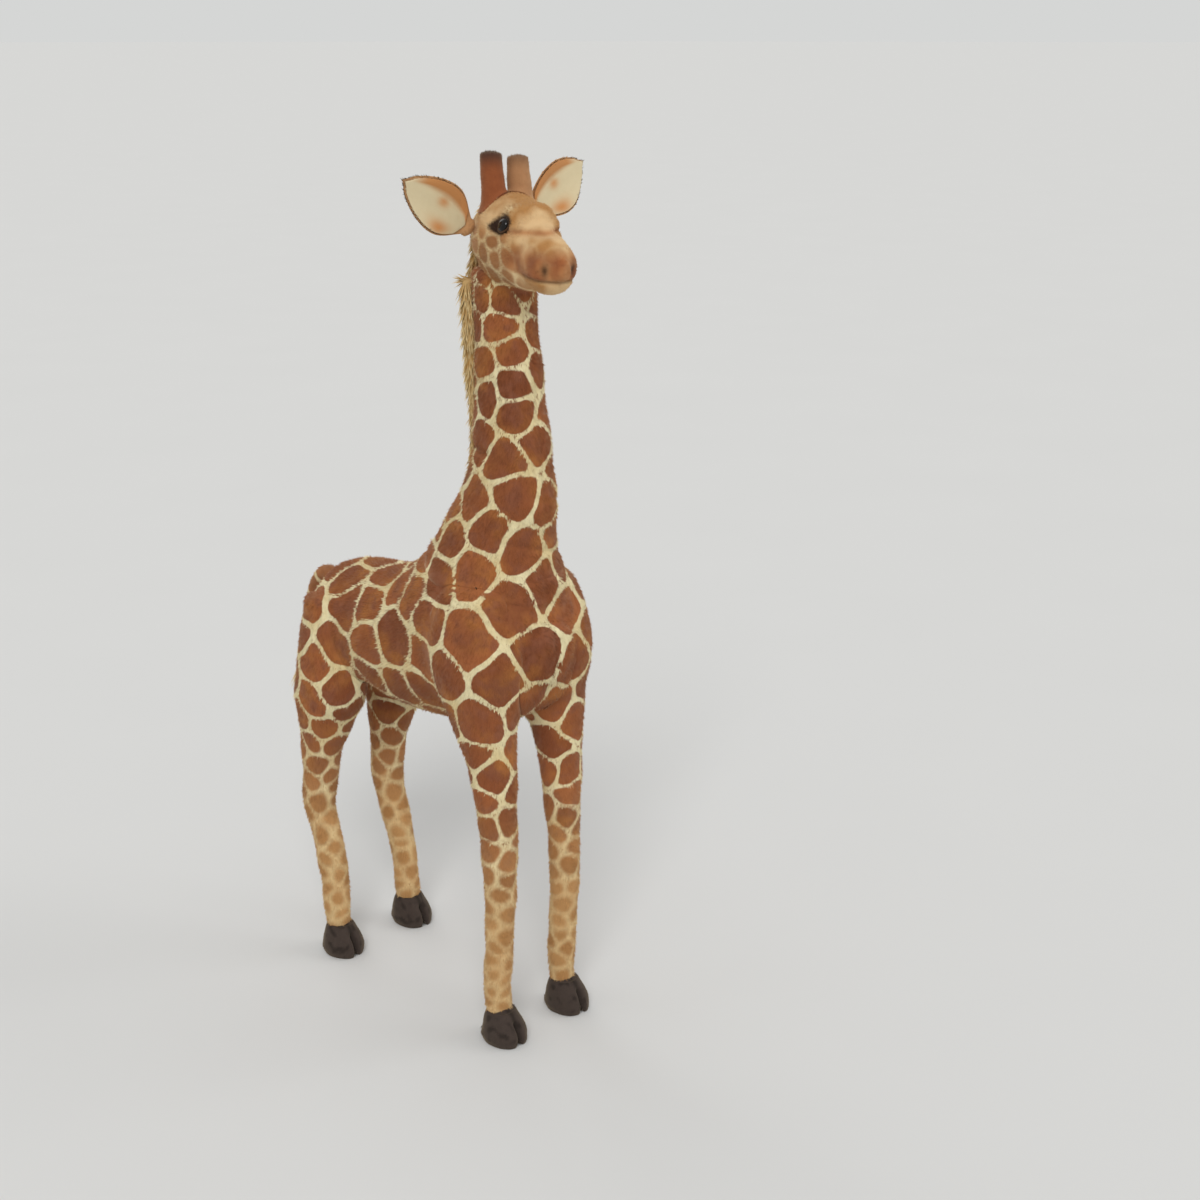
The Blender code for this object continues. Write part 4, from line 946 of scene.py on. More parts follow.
# How far apart the rings of the larger forms are
BODY_SPACING = 4 * MM
trunk_form = Form(TRUNK_ROWS, FORWARD, BODY_SPACING, 112)
neck_form = Form(neck_rows(), UP, BODY_SPACING, 96)
head_form = Form(HEAD_ROWS, FORWARD, 2.2 * MM, 96, in_head=True)
muzzle_form = Form(MUZZLE_ROWS, FORWARD, 1.8 * MM, 88, in_head=True)
leg_forms = {}
for label, side in SIDES:
    leg_forms[f"front_{label}"] = Form(front_leg_rows(side), UP, BODY_SPACING, 64)
    leg_forms[f"rear_{label}"] = Form(rear_leg_rows(side), UP, BODY_SPACING, 64)

# Patch size, as the least distance between middles, and half the line's width, by height
PATCH_HEIGHTS = (0.05, 0.16, 0.28, 0.36, 0.46, 0.56, 0.70, 0.84, 0.86, 0.95)
PATCH_SIZES = tuple(size * MM for size in (20, 23, 28, 36, 43, 41, 35, 30, 17, 15))
LINE_SIZES = tuple(size * MM for size in (2.4, 2.5, 2.8, 3.5, 3.9, 3.8, 3.4, 2.9, 1.7, 1.6))


def by_height(points, values):
    return np.interp(points[:, 2], PATCH_HEIGHTS, values)


# Each side of a line is this much narrower, because rounding the patches' corners widens it
LINE_TRIM = 1.2 * MM
# Over about what length the patches' corners are rounded
CORNER_ROUND = 2.6 * MM
# Length and reach of the noise that bows a patch's edges
WANDER_LENGTH = 42 * MM
WANDER_REACH = 2.6 * MM


def line_reach(points):
    """How far the middle of a line is from the patches beside it."""
    return by_height(points, LINE_SIZES) - LINE_TRIM


def wandering(points):
    """Places moved a little by soft noise, so that a patch's edges bow."""
    move = [lumps(points, WANDER_LENGTH, seed) for seed in (11, 12, 13)]
    return points + np.stack(move, -1) * WANDER_REACH


def patch_middles(skins):
    """Middles of the patches: places on the skins, each further from the rest than its patch size."""
    free = np.vstack([skin.points[skin.cover < 2 * MM] for skin in skins])
    free = free[dice.permutation(len(free))]
    found = []
    while len(free):
        spot = free[0]
        found.append(spot)
        size = by_height(spot[None], PATCH_SIZES)[0]
        stretch = np.array([1, 1, between(1.45, 1.0, float(ease(0.16, 0.34, spot[2])))])
        away = np.linalg.norm((free - spot) * stretch, axis=1)
        free = free[away > size]
    return np.array(found)


# How many places the print is worked out for at a time, to spare memory
BATCH = 20000


def print_of(points, middles, tones, zones):
    """The coat's print: the distance in from the nearest patch edge, in centimetres, and its tone.

    The edge between two middles is the plane half way between them. The six nearest planes are
    joined by a soft least, minus a logarithm of the sum of exponentials, which rounds corners.
    """
    bowed = wandering(points)
    edge = np.empty(len(points))
    tone = np.empty(len(points))
    round_off = 1 / CORNER_ROUND
    for start in range(0, len(points), BATCH):
        part = slice(start, start + BATCH)
        away = ((bowed[part, None] - middles[None]) ** 2).sum(-1)
        near = np.argsort(away, axis=1)[:, :7]
        ranked = np.take_along_axis(away, near, 1)
        apart = np.linalg.norm(middles[near[:, 1:]] - middles[near[:, :1]], axis=-1)
        plane = (ranked[:, 1:] - ranked[:, :1]) / (2 * apart)
        edge[part] = -np.log(np.exp(-plane * round_off).sum(1)) / round_off
        tone[part] = tones[near[:, 0]]
    edge -= line_reach(points)
    # A low tip share paints the bare skin darker, as the shade at the pile's roots
    coat = np.stack([edge * CM_IN_METRE, tone, np.full_like(edge, 0.5), np.full_like(edge, 0.2)], -1)
    return {"coat": coat, "zones": zones}


def no_zones(points):
    return np.zeros((len(points), 4))


def leg_zones(points):
    """The print fades into blurred spots on tan below the knee."""
    zones = no_zones(points)
    zones[:, FADE] = 1 - ease(0.13, 0.33, points[:, 2])
    return zones


def front_of(points):
    """How far forward and up places are, in the head's own frame."""
    local = head_frame(points)
    return -local[:, 1] - MIDDLE_FORWARD, local[:, 2]


def mouth_height(forward):
    """The height of the mouth's line, which sinks a little towards the lips."""
    return NECK_SEAM_HEIGHT + MUZZLE_LOW + 20 * MM - (forward - 215 * MM) * 0.10


def head_zones(points):
    """Plain tan over brow, nose and chin, small faded patches on the cheek, reddish muzzle sides."""
    forward, up = front_of(points)
    zones = no_zones(points)
    zones[:, FADE] = 0.5
    brow = ease(917 * MM, 929 * MM, up)
    bridge = ease(905 * MM, 917 * MM, up) * ease(192 * MM, 210 * MM, forward)
    nose = ease(196 * MM, 222 * MM, forward)
    chin = nose * (1 - ease(-4 * MM, 1 * MM, up - mouth_height(forward)))
    top = np.maximum(brow, bridge) * ease(112 * MM, 130 * MM, forward)
    zones[:, PLAIN] = np.maximum.reduce([top, chin, nose * 0.7])
    side = ease(-2 * MM, 3 * MM, up - mouth_height(forward)) * (1 - ease(899 * MM, 915 * MM, up))
    zones[:, RED] = ease(186 * MM, 214 * MM, forward) * side * (0.84 + lumps(points, 26 * MM, 61) * 0.16)
    return np.clip(zones, 0, 1)


# Skins

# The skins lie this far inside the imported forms, so that the pile's tips come out to them
PILE_DEPTH = 1.5 * MM
legs = [(form, 24 * MM) for form in leg_forms.values()]
stuffed_body = Body((trunk_form, 0), (neck_form, 62 * MM), *legs)
trunk = fitted(trunk_form, stuffed_body, PILE_DEPTH)
neck = fitted(neck_form, Body(*stuffed_body.members, (head_form, 10 * MM)), PILE_DEPTH)
leg_skins = {name: fitted(form, stuffed_body, PILE_DEPTH) for name, form in leg_forms.items()}
stuffed_head = Body((head_form, 0), (muzzle_form, 12 * MM))
head = fitted(head_form, Body(*stuffed_head.members, (neck_form, 10 * MM)), PILE_DEPTH / 2)
muzzle = fitted(muzzle_form, stuffed_head, PILE_DEPTH / 2)


def middle_seam(points, low, high, width=3 * MM):
    """1 on the toy's middle plane between two heights."""
    return bell(points[:, 0] - MIDDLE_LEFT, width) * (points[:, 2] > low) * (points[:, 2] < high)


def neck_fold(points, height, tilt, facing, width):
    """A fold across the neck: deepest where the skin faces one way, and thin in height."""
    level = height + (points[:, 0] - MIDDLE_LEFT) * tilt
    way = unit(points[:, :2] - HEAD_PIVOT[:2])
    side = ease(0.1, 0.9, way @ np.array(facing))
    return bell(points[:, 2] - level, width) * side


# The neck's folds: height, tilt, the way they face, width in height, and depth
NECK_FOLDS = (
    (0.694, 0.15, (-0.8, 0.6), 5 * MM, 4.5 * MM),
    (0.642, -0.2, (0.6, -0.8), 4 * MM, 1.8 * MM),
    (0.585, -0.3, (0.2, -0.95), 4 * MM, 2.2 * MM),
    (0.765, 0.1, (-0.9, 0.2), 3.5 * MM, 1.2 * MM),
)


def chest_hollow(points):
    """1 down the middle of the chest, where it is drawn in between the shoulders."""
    front = ease(0.150, 0.190, -points[:, 1]) * ease(0.34, 0.40, points[:, 2])
    return bell(points[:, 0] - MIDDLE_LEFT, 14 * MM) * front * (1 - ease(0.50, 0.56, points[:, 2]))


TAIL_SPOT, TAIL_OUT = surface_spot(TRUNK_ROWS, TAIL_ALONG_SHARE, 0.25)
trunk.move(
    lumps(trunk.points, 90 * MM, 3) * 1.6 * MM
    + bell(np.linalg.norm(trunk.points - TAIL_SPOT, axis=1), 13 * MM) * 3 * MM
    - trunk.seam() * 1.6 * MM
    - middle_seam(trunk.points, 0.30, 0.60) * 1.4 * MM
    - chest_hollow(trunk.points) * 5 * MM
)
neck.move(
    lumps(neck.points, 70 * MM, 4) * 1.3 * MM
    - neck.seam() * 1.2 * MM
    - middle_seam(neck.points, 0.50, 0.86) * 1.2 * MM
    - sum(neck_fold(neck.points, *fold) * deep for *fold, deep in NECK_FOLDS)
)
for skin in leg_skins.values():
    skin.move(
        lumps(skin.points, 52 * MM, 5) * 1.5 * MM
        - skin.seam() * 1.6 * MM
        - chest_hollow(skin.points) * 5 * MM
    )

EYE_SPOT, EYE_OUT = surface_spot(HEAD_ROWS, EYE_ALONG_SHARE, EYE_ROUND_SHARE)


def dents(skin, rows):
    """Moves a head skin by soft bumps and hollows: place, size and amount, on both sides."""
    local = head_frame(skin.points)
    amount = np.zeros(len(local))
    for place, size, rise in rows:
        for _, side in SIDES:
            amount += bell(far_from(local, place, side), size) * rise
    skin.move(amount)


def brow_highlight(points):
    """1 where a highlight is painted cream on the brow's bump over each eye, in front of the horn."""
    local = head_frame(points)
    brow = EYE_SPOT + np.array([-8, 2, 14]) * MM
    return np.max([bell(far_from(local, brow, side), 11 * MM) for _, side in SIDES], axis=0)


def mouth_line(points):
    """1 along the mouth: a line that rises from the lips' middle to the corner on the cheek."""
    forward, up = front_of(points)
    return bell(up - mouth_height(forward), 1.7 * MM) * ease(212 * MM, 226 * MM, forward)


NOSTRIL = at(255 * MM, 15 * MM, 891 * MM)
PAD_HEIGHT = EYE_SPOT[2] - 6 * MM
EYE_REACHES = (15 * MM, 27 * MM, 12 * MM)


def pad_line(points):
    """1 along the crease under the brow's pad, from each eye's front corner round the face."""
    forward, up = front_of(points)
    return bell(up - PAD_HEIGHT, 2.8 * MM) * ease(186 * MM, 196 * MM, forward)


def almond(points):
    """1 in the dark almond round each eye: a lens shape with its long point to the back."""
    local = head_frame(points)
    made = np.zeros(len(points))
    for _, side in SIDES:
        away = local - mirrored(EYE_SPOT, side, MIDDLE_LEFT)
        ahead = np.where(away[:, 1] < 0, -away[:, 1] / EYE_REACHES[0], away[:, 1] / EYE_REACHES[1])
        level = (away[:, 2] + away[:, 1] * 0.12) / EYE_REACHES[2]
        lens = np.abs(level) + ahead**1.6 + (away[:, 0] * side < -12 * MM)
        made = np.maximum(made, 1 - ease(0.75, 1.05, lens))
    return made


dents(head, [
    (EYE_SPOT, 9 * MM, -2.6 * MM),
    (EYE_SPOT + np.array([-4, -1, 12]) * MM, 11 * MM, 2.6 * MM),
    (EYE_SPOT + np.array([1, -6, -13]) * MM, 9 * MM, 1.4 * MM),
    (at(206 * MM, 13 * MM, 944 * MM), 16 * MM, 8.5 * MM),
    (at(210 * MM, 26 * MM, 930 * MM), 9 * MM, 4.5 * MM),
    (at(170 * MM, 34 * MM, 885 * MM), 20 * MM, 1.2 * MM),
])
dents(muzzle, [
    (NOSTRIL, 5.5 * MM, -3.0 * MM),
    (NOSTRIL + np.array([2, 4, 6]) * MM, 9 * MM, 1.5 * MM),
    (at(240 * MM, 20 * MM, 886 * MM), 14 * MM, 1.2 * MM),
    (at(214 * MM, 8 * MM, 938 * MM), 16 * MM, 1.5 * MM),
])
muzzle.move(-mouth_line(muzzle.points) * 2.0 * MM - pad_line(muzzle.points) * 2.6 * MM)
head.move(lumps(head.points, 40 * MM, 8) * 0.6 * MM - pad_line(head.points) * 2.6 * MM)

# The head's skin is hollowed round each ear's root, which leaves room for the ear to turn
EAR_SEAT_REACH = 11 * MM
EAR_SEAT_DEPTH = 2.2 * MM
head_local = head_frame(head.points)
ear_seat = np.zeros(len(head.points))
for label, side in SIDES:
    root, _ = surface_spot(HEAD_ROWS, *EAR_SETS[label][3:])
    ear_seat += bell(far_from(head_local, root, side), EAR_SEAT_REACH)
head.move(-ear_seat * EAR_SEAT_DEPTH)

coat_skins = [trunk, neck, head, muzzle, *leg_skins.values()]
middles = patch_middles(coat_skins)
tones = dice.random(len(middles))

trunk_paint = print_of(trunk.points, middles, tones, no_zones(trunk.points))
neck_paint = print_of(neck.points, middles, tones, no_zones(neck.points))
head_paint = print_of(head.points, middles, tones, head_zones(head.points))
muzzle_paint = print_of(muzzle.points, middles, tones, head_zones(muzzle.points))


def marked(paint, channel, amount):
    """Adds a mark to one of the paint's zones, where it is stronger than what is there."""
    paint["zones"][:, channel] = np.maximum(paint["zones"][:, channel], amount)


def nostrils(points):
    """1 in each nostril, an upright slot."""
    local = head_frame(points)
    return np.max([
        bell(np.linalg.norm((local - mirrored(NOSTRIL, side, MIDDLE_LEFT)) * (1, 1, 0.55), axis=1), 3.6 * MM)
        for _, side in SIDES
    ], axis=0)


for paint, skin in ((head_paint, head), (muzzle_paint, muzzle)):
    # Painted shade: the crease under the brow's pad is darkened reddish-brown
    marked(paint, RED, pad_line(skin.points) * 0.7)
    marked(paint, DARK, nostrils(skin.points) * 0.85)
    marked(paint, DARK, mouth_line(skin.points) * 0.5)
marked(head_paint, DARK, almond(head.points))
# Painted highlight: the brow's bump over each eye is painted cream, as light falling on it
head_paint["zones"][:, PLAIN] *= 1 - brow_highlight(head.points) * 0.75
head_paint["coat"][:, EDGE] -= brow_highlight(head.points) * 2


def open_skin(skin, depth=3 * MM):
    """1 where a skin shows and 0 well inside a neighbour."""
    return 1 - ease(0, depth, skin.cover)


def short_at_seams(skin, length):
    return length * (1 - 0.5 * skin.seam())


# The neck has no pile above this height, inside the head
NECK_PILE_TOP = 0.93
PILE = {"width": 1.9 * MM, "spacing": 1.75 * MM}
sewn("trunk_skin", trunk, COAT, "body", ["trunk"], trunk_paint)
trunk_left = (trunk.points[:, 0] > MIDDLE_LEFT) * 1.0
for label, half in (("left", trunk_left), ("right", 1 - trunk_left)):
    locks(
        f"trunk_{label}_pile", trunk, COAT, "body", "plush_brown", trunk_paint, np.array([0, 0.8, -0.6]),
        short_at_seams(trunk, 6 * MM), keep=open_skin(trunk) * half, **PILE,
    )
plushed(
    "neck", neck, COAT, "neck", "plush_brown", neck_paint, 0.8, np.array([0, 0.15, -1.0]),
    short_at_seams(neck, 5.5 * MM), keep=open_skin(neck) * (neck.points[:, 2] < NECK_PILE_TOP), **PILE,
)
for name, skin in leg_skins.items():
    paint = print_of(skin.points, middles, tones, leg_zones(skin.points))
    shown = open_skin(skin) * ease(0.030, 0.036, skin.points[:, 2])
    plushed(
        f"{name}_leg", skin, COAT, "body", "plush_brown", paint, 0.75, np.array([0, 0.1, -1.0]),
        short_at_seams(skin, 5 * MM), keep=shown, width=1.7 * MM, spacing=1.65 * MM,
    )

sewn("head_skin", head, COAT, "head", ["head"], head_paint)
sewn("muzzle_skin", muzzle, COAT, "head", ["muzzle"], muzzle_paint)
back_way = turned_way(np.array([0, 0.95, 0.1]))
eye_clear = np.ones(len(head.points))
for _, side in SIDES:
    eye_clear *= ease(8 * MM, 10 * MM, far_from(head_local, EYE_SPOT, side))
locks(
    "head_pile", head, COAT, "head", "plush_tan", head_paint, back_way, 3.8 * MM,
    keep=open_skin(head, 2 * MM) * eye_clear * (1 - ear_seat), width=1.2 * MM, spacing=1.15 * MM, lie=26,
)
locks(
    "muzzle_pile", muzzle, COAT, "head", "plush_tan", muzzle_paint, back_way, 3.0 * MM,
    keep=open_skin(muzzle, 2 * MM) * (1 - muzzle_paint["zones"][:, DARK] * 0.8),
    width=1.0 * MM, spacing=1.05 * MM, lie=24,
)


# Horns, hooves and eyes

def plain_paint(points, share):
    """Paint for a one-colour pile: a middle shade, and how far it has turned to the end colour."""
    # A low tip share paints the bare skin darker, as the shade at the pile's roots
    coat = np.tile([1.0, 0.5, 0.5, 0.2], (len(points), 1))
    zones = no_zones(points)
    zones[:, FADE] = share
    return {"coat": coat, "zones": zones}


for label, side in SIDES:
    foot, _ = surface_spot(HEAD_ROWS, HORN_ALONG_SHARE, 0.25)
    back = math.tan(math.radians(HORN_BACK_LEAN))
    out = math.tan(math.radians(HORN_OUT_LEANS[label]))
    lean = unit(np.array([side * out, back, 1.0]))
    start = foot + np.array([side * HORN_SPACING / 2, 0, 0]) - lean * HORN_SUNK
    rows = []
    for along, wide in HORN_SHARES:
        radius = between(HORN_TOP_WIDTH, HORN_FOOT_WIDTH, wide) / 2 - 0.8 * MM
        rows.append((*(start + lean * (HORN_LENGTHS[label] - 5 * MM) * along), radius, radius))
    form = Form(rows, UP, 2 * MM, 40, in_head=True, bulge=0.34)
    skin = fitted(form, Body((form, 0), (head_form, 7 * MM)))
    skin.move(lumps(skin.points, 25 * MM, 21) * 0.5 * MM)
    paint = plain_paint(skin.points, ease(0.978, 1.0, skin.points[:, 2]))
    plushed(
        f"{label}_horn", skin, HORN_PLUSHES[label], "head", "plush_horn", paint, 0.8, UP, 3.2 * MM,
        keep=open_skin(skin, 2 * MM), width=1.1 * MM, spacing=1.2 * MM, lie=24,
    )


CLEFT_WIDTH = 2.6 * MM
CLEFT_DEPTH = 9 * MM
# How far the middle of each half's swelling is from the cleft, and how wide it is
LOBE_SPREAD = 11 * MM
LOBE_WIDTH = 8 * MM
# The sole stays this far above the floor
SOLE_HEIGHT = 0.3 * MM


def hoof_skin(rows):
    """A cloven hoof: oval rings, drawn in along the toe's middle, and flat below."""
    skin = fitted(Form(rows, UP, 2 * MM, 72, bulge=0.2))
    foot = rows[0][0]
    toe = ease(2 * MM, 16 * MM, -(skin.points[:, 1] - rows[1][1]))
    low = 1 - ease(26 * MM, 34 * MM, skin.points[:, 2])
    skin.move(-bell(skin.points[:, 0] - foot, CLEFT_WIDTH) * toe * low * CLEFT_DEPTH)
    swell = bell(np.abs(skin.points[:, 0] - foot) - LOBE_SPREAD, LOBE_WIDTH) * toe * low
    skin.move(swell * 0.8 * MM + lumps(skin.points, 22 * MM, 31) * 0.4 * MM - 1.2 * MM)
    skin.points[:, 2] = np.maximum(skin.points[:, 2], SOLE_HEIGHT)
    skin.ways = outward_ways(skin.points, skin.net)
    return skin


for name, form in leg_forms.items():
    foot = form.path[5]
    rows = []
    for up, lead, half_long, half_side in HOOF_SHARES:
        rows.append((
            foot[0], foot[1] - HOOF_TOE_LEAD * lead, max(HOOF_HEIGHT * up, 1.0 * MM),
            HOOF_WIDTH * half_side, HOOF_LENGTH * half_long,
        ))
    skin = hoof_skin(rows)
    # Painted shade: the hoof is darkened in blotches, as the shade of wrinkles
    wrinkle_shade = ease(0.2, 0.9, lumps(skin.points, 11 * MM, 32)) * 0.5
    paint = plain_paint(skin.points, np.maximum(bell(skin.points[:, 0] - foot[0], 3 * MM) * 0.6, wrinkle_shade))
    reach = between(1.0 * MM, 2.8 * MM, ease(3 * MM, 9 * MM, skin.points[:, 2]))
    plushed(
        f"{name}_hoof", skin, HOOF_PLUSH, "body", "plush_hoof", paint, 0.7, np.array([0, -0.3, -0.9]), reach,
        keep=ease(3.5 * MM, 5 * MM, skin.points[:, 2]), width=1.3 * MM, spacing=1.4 * MM, lie=20,
    )


def arc_tube(middle, across, up, out, radius, start, sweep, size, count=26, sides=12):
    """A roll bent round an oval in the plane of two axes, tapered to its ends by the sine."""
    turn = np.radians(np.linspace(start, start + sweep, count))
    share = np.linspace(0, 1, count)
    centre = middle + across * (np.cos(turn) * radius[0])[:, None] + up * (np.sin(turn) * radius[1])[:, None]
    inward = unit(centre - middle)
    thick = size / 2 * (0.35 + 0.65 * np.sin(math.pi * share))
    ring = np.arange(sides) * TAU / sides
    loop = inward[:, None] * np.cos(ring)[None, :, None] + out * np.sin(ring)[None, :, None]
    points = (centre[:, None] + loop * thick[:, None, None]).reshape(-1, 3)
    return Skin(np.vstack([points, centre[0], centre[-1]]), count, sides)


for label, side in SIDES:
    spot = turned(mirrored(EYE_SPOT, side, MIDDLE_LEFT))
    out = turned_way(mirrored(EYE_OUT, side))
    up = unit(UP - out * out[2])
    ahead = np.cross(up, out) * side
    seat = spot + out * (EYE_PROUD - EYE_RIM - EYE_SINK)
    radius = EYE_WIDTH / 2
    turn = np.linspace(0, math.pi / 2, EYE_RINGS + 1)[:-1, None]
    ring = np.arange(EYE_SIDES) * TAU / EYE_SIDES
    spoke = np.cos(ring)[:, None] * ahead + np.sin(ring)[:, None] * up
    height = (EYE_RIM + EYE_DOME * np.sin(turn))[:, None]
    dome = seat + out * height + spoke[None] * (radius * np.cos(turn))[:, None]
    base = np.stack([seat - out * EYE_BACK + spoke * radius * 0.6, seat + spoke * radius * 0.98])
    poles = (seat - out * EYE_BACK, seat + out * (EYE_RIM + EYE_DOME))
    ball = Skin(np.vstack([base.reshape(-1, 3), dome.reshape(-1, 3), *poles]), EYE_RINGS + 2, EYE_SIDES)
    eye = made_mesh(f"{label}_glass_eye", ball.points, ball.net, EYE, ball.chart)
    carried(eye, "head")
    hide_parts(f"{label}_eye")
    # Each lid: how proud, half its width and height, its arc's start and sweep, size, end colour's share
    lids = (
        ("upper", 1.6 * MM, (9.4 * MM, 7.4 * MM), -8, 196, EYELID_THICKNESS + 0.6 * MM, 0.1),
        ("lower", 1.2 * MM, (9.6 * MM, 7.6 * MM), 176, 188, EYELID_THICKNESS * 0.8, 0.45),
    )
    for part, proud, radii, start, sweep, size, share in lids:
        roll = arc_tube(seat + out * proud, ahead, up, out, radii, start, sweep, size)
        lid = made_mesh(
            f"{label}_{part}_lid", roll.points, roll.net, LASH, roll.chart, plain_paint(roll.points, share)
        )
        carried(lid, "head")
        if part == "upper":
            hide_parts(f"{label}_eyelid")


# Ears

def ear_frame(label, side):
    """The ear root's place, and the ear's length and facing axes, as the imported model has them."""
    *angles, along_share, round_share = EAR_SETS[label]
    spot, out = surface_spot(HEAD_ROWS, along_share, round_share)
    rise, sweep, twist = (math.radians(value) for value in angles)
    length = unit(np.array([math.cos(rise) * math.cos(sweep), -math.sin(sweep), math.sin(rise)]))
    facing = unit(FORWARD - length * (FORWARD @ length))
    facing = facing * math.cos(twist) + np.cross(length, facing) * math.sin(twist)
    pivot = spot + out * (EAR_ROOT_WIDTH / 2 - EAR_ROOT_SINKS[label])
    pivot = turned(mirrored(pivot, side, MIDDLE_LEFT))
    return pivot, turned_way(mirrored(length, side)), turned_way(mirrored(facing, side))


def ear_skin(label, side, start, margin, lift, wall, root):
    """A cupped leaf with a rounded rim: a closed loop round each row.

    The loop's width goes by the cosine of the turn and its thickness by the sine. It is raised at
    the sides by the square of the width, and folded along a line below its upper edge. Also given
    are each point's share of the width towards that edge, its share of the length, and the ear's
    length and facing axes.
    """
    pivot, length, facing = ear_frame(label, side)
    across = np.cross(length, facing)
    across = across * np.sign(across[2])
    first = -0.05 if root else start / EAR_LENGTH
    leaf = np.linspace(first, 1 - margin / EAR_LENGTH, EAR_RINGS)
    table = np.linspace(0, 1, len(EAR_LEAF_SHARES))
    knots = np.stack([table, table * 0, table * 0, EAR_LEAF_SHARES], 1)
    fine = smooth_path(knots, 0.01)
    half = EAR_WIDTH * np.interp(leaf, fine[:, 0], fine[:, 3]) - margin
    half = np.maximum(half, 5 * MM)
    thick = np.full(EAR_RINGS, wall)
    if root:
        half = np.maximum(half, EAR_ROOT_LENGTH / 2 * (1 - ease(0.0, 0.3, leaf)))
        thick = wall + (EAR_ROOT_WIDTH - wall) * (1 - ease(0.0, 0.16, leaf))
    to_tip = np.clip((leaf[-1] - leaf) / 0.08, 0.002, 1)
    to_root = np.clip((leaf - first) / 0.07, 0.002, 1)
    ends = np.sqrt(to_tip) * np.sqrt(to_root)
    half = half * ends
    if root:
        thick = thick * np.where(leaf < 0.1, ends, 1)
    bow = np.sin(math.pi * np.clip(between(*EAR_CUP_SHARES, leaf), 0, 1))
    turn = np.arange(EAR_SIDES) * TAU / EAR_SIDES
    share = np.broadcast_to(np.cos(turn), (EAR_RINGS, EAR_SIDES))
    wide = half[:, None] * share
    cup = EAR_CUP * (wide / (EAR_WIDTH / 2)) ** 2 * bow[:, None]
    fold = bell(share - 0.5, 0.16) * ease(0.12, 0.3, leaf)[:, None] * (1 - ease(0.65, 0.9, leaf))[:, None]
    thin = lift + thick[:, None] / 2 * (np.sin(turn) - 1)
    if root:
        thin = thin + (thick[:, None] - EAR_BACK_WALL) / 2
    depth = cup + thin - fold * 1.6 * MM * (0 if root else 1)
    middle = pivot + length * (EAR_LENGTH * leaf)[:, None, None]
    points = (middle + across * wide[..., None] + facing * depth[..., None]).reshape(-1, 3)
    poles = [points[:EAR_SIDES].mean(0), points[-EAR_SIDES:].mean(0)]
    upper = np.concatenate([share.ravel(), [0, 0]])
    along = np.concatenate([np.repeat(leaf, EAR_SIDES), [leaf[0], leaf[-1]]])
    return Skin(np.vstack([points, poles]), EAR_RINGS, EAR_SIDES), upper, along, length, facing


for label, side in SIDES:
    body = f"{label}_ear"
    skin, upper, leaf, length, facing = ear_skin(label, side, 0.0, 0.0, 0.0, EAR_BACK_WALL, True)
    tip = ease(0.86, 1.0, leaf) * 0.5
    paint = plain_paint(skin.points, np.maximum(tip, bell(upper + 1, 0.1) * ease(0.5, 0.9, leaf) * 0.5))
    behind = ease(-0.75, -0.25, -(skin.ways @ facing) + (leaf < 0.08) * 1.2)
    plushed(
        body, skin, EAR_BACK, body, "plush_tan", paint, 0.3, length, 3.6 * MM, f"{label}_ear_back",
        keep=behind, width=1.2 * MM, spacing=1.3 * MM, lie=16, roundness=0.85,
    )
    skin, upper, leaf, length, facing = ear_skin(
        label, side, EAR_LINING_START, EAR_LINING_MARGIN, EAR_LINING_GAP + EAR_LINING_WALL, EAR_LINING_WALL,
        False,
    )
    turned_edge = ease(0.50, 0.62, upper) * (1 - ease(0.75, 0.95, leaf))
    high_spot = bell(upper - 0.25, 0.2) * bell(leaf - 0.47, 0.07)
    low_spot = bell(upper + 0.75, 0.3) * bell(leaf - 0.38, 0.13)
    # Painted shade: the lining turns to its darker end colour along the fold's crease
    crease = bell(upper - 0.5, 0.06) * (1 - ease(0.6, 0.85, leaf)) * 0.8
    share = np.maximum.reduce([turned_edge * 0.9, high_spot * 0.85, low_spot * 0.9, crease])
    paint = plain_paint(skin.points, np.clip(share, 0, 1))
    sewn(f"{label}_ear_velour", skin, EAR_LINING, body, [f"{label}_ear_lining"], paint)
    locks(
        f"{label}_ear_lining_pile", skin, EAR_LINING, body, "plush_cream", paint, length, 2.6 * MM,
        keep=ease(-0.1, 0.3, skin.ways @ facing), width=1.1 * MM, spacing=1.25 * MM, lie=14, roundness=0.85,
    )


# Mane

def back_of_neck(height):
    """The place on the back of the neck at a height."""
    rows = np.array(neck_rows())
    row = np.array([np.interp(height, rows[:, 2], column) for column in rows.T])
    return row[:3] + np.array([0, row[4], 0])


def strip_row(place, fade):
    """A ring of the mane's backing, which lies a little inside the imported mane."""
    return *place, MANE_WIDTH / 2 * fade * 0.92, (MANE_PROUD + MANE_SUNK) / 2 * fade * 0.75


rows = []
for share in np.linspace(0, 1, 6):
    height = between(MANE_FOOT_HEIGHT, NECK_SEAM_HEIGHT + 12 * MM, share)
    centre = back_of_neck(height) - np.array([0, (MANE_SUNK - MANE_PROUD) / 2 + 2 * MM, 0])
    fade = min(1, between(MANE_FOOT_SHARE, 1, share / MANE_FULL_SHARE))
    rows.append(strip_row(centre, fade))
mane = fitted(Form(rows, UP, 3 * MM, 36, bulge=0.5))
LONG_LOCKS = {"rings": (0.0, 0.4, 0.72), "fat": (0.8, 1.0, 0.6)}


def mane_paint(skin):
    return plain_paint(skin.points, np.clip(lumps(skin.points, 20 * MM, 51) * 0.3, 0, 0.3))


def above_foot(skin):
    """1 on a backing's sides and 0 under its lower end, where hair would splay."""
    return 1 - ease(0.45, 0.7, -skin.ways[:, 2])


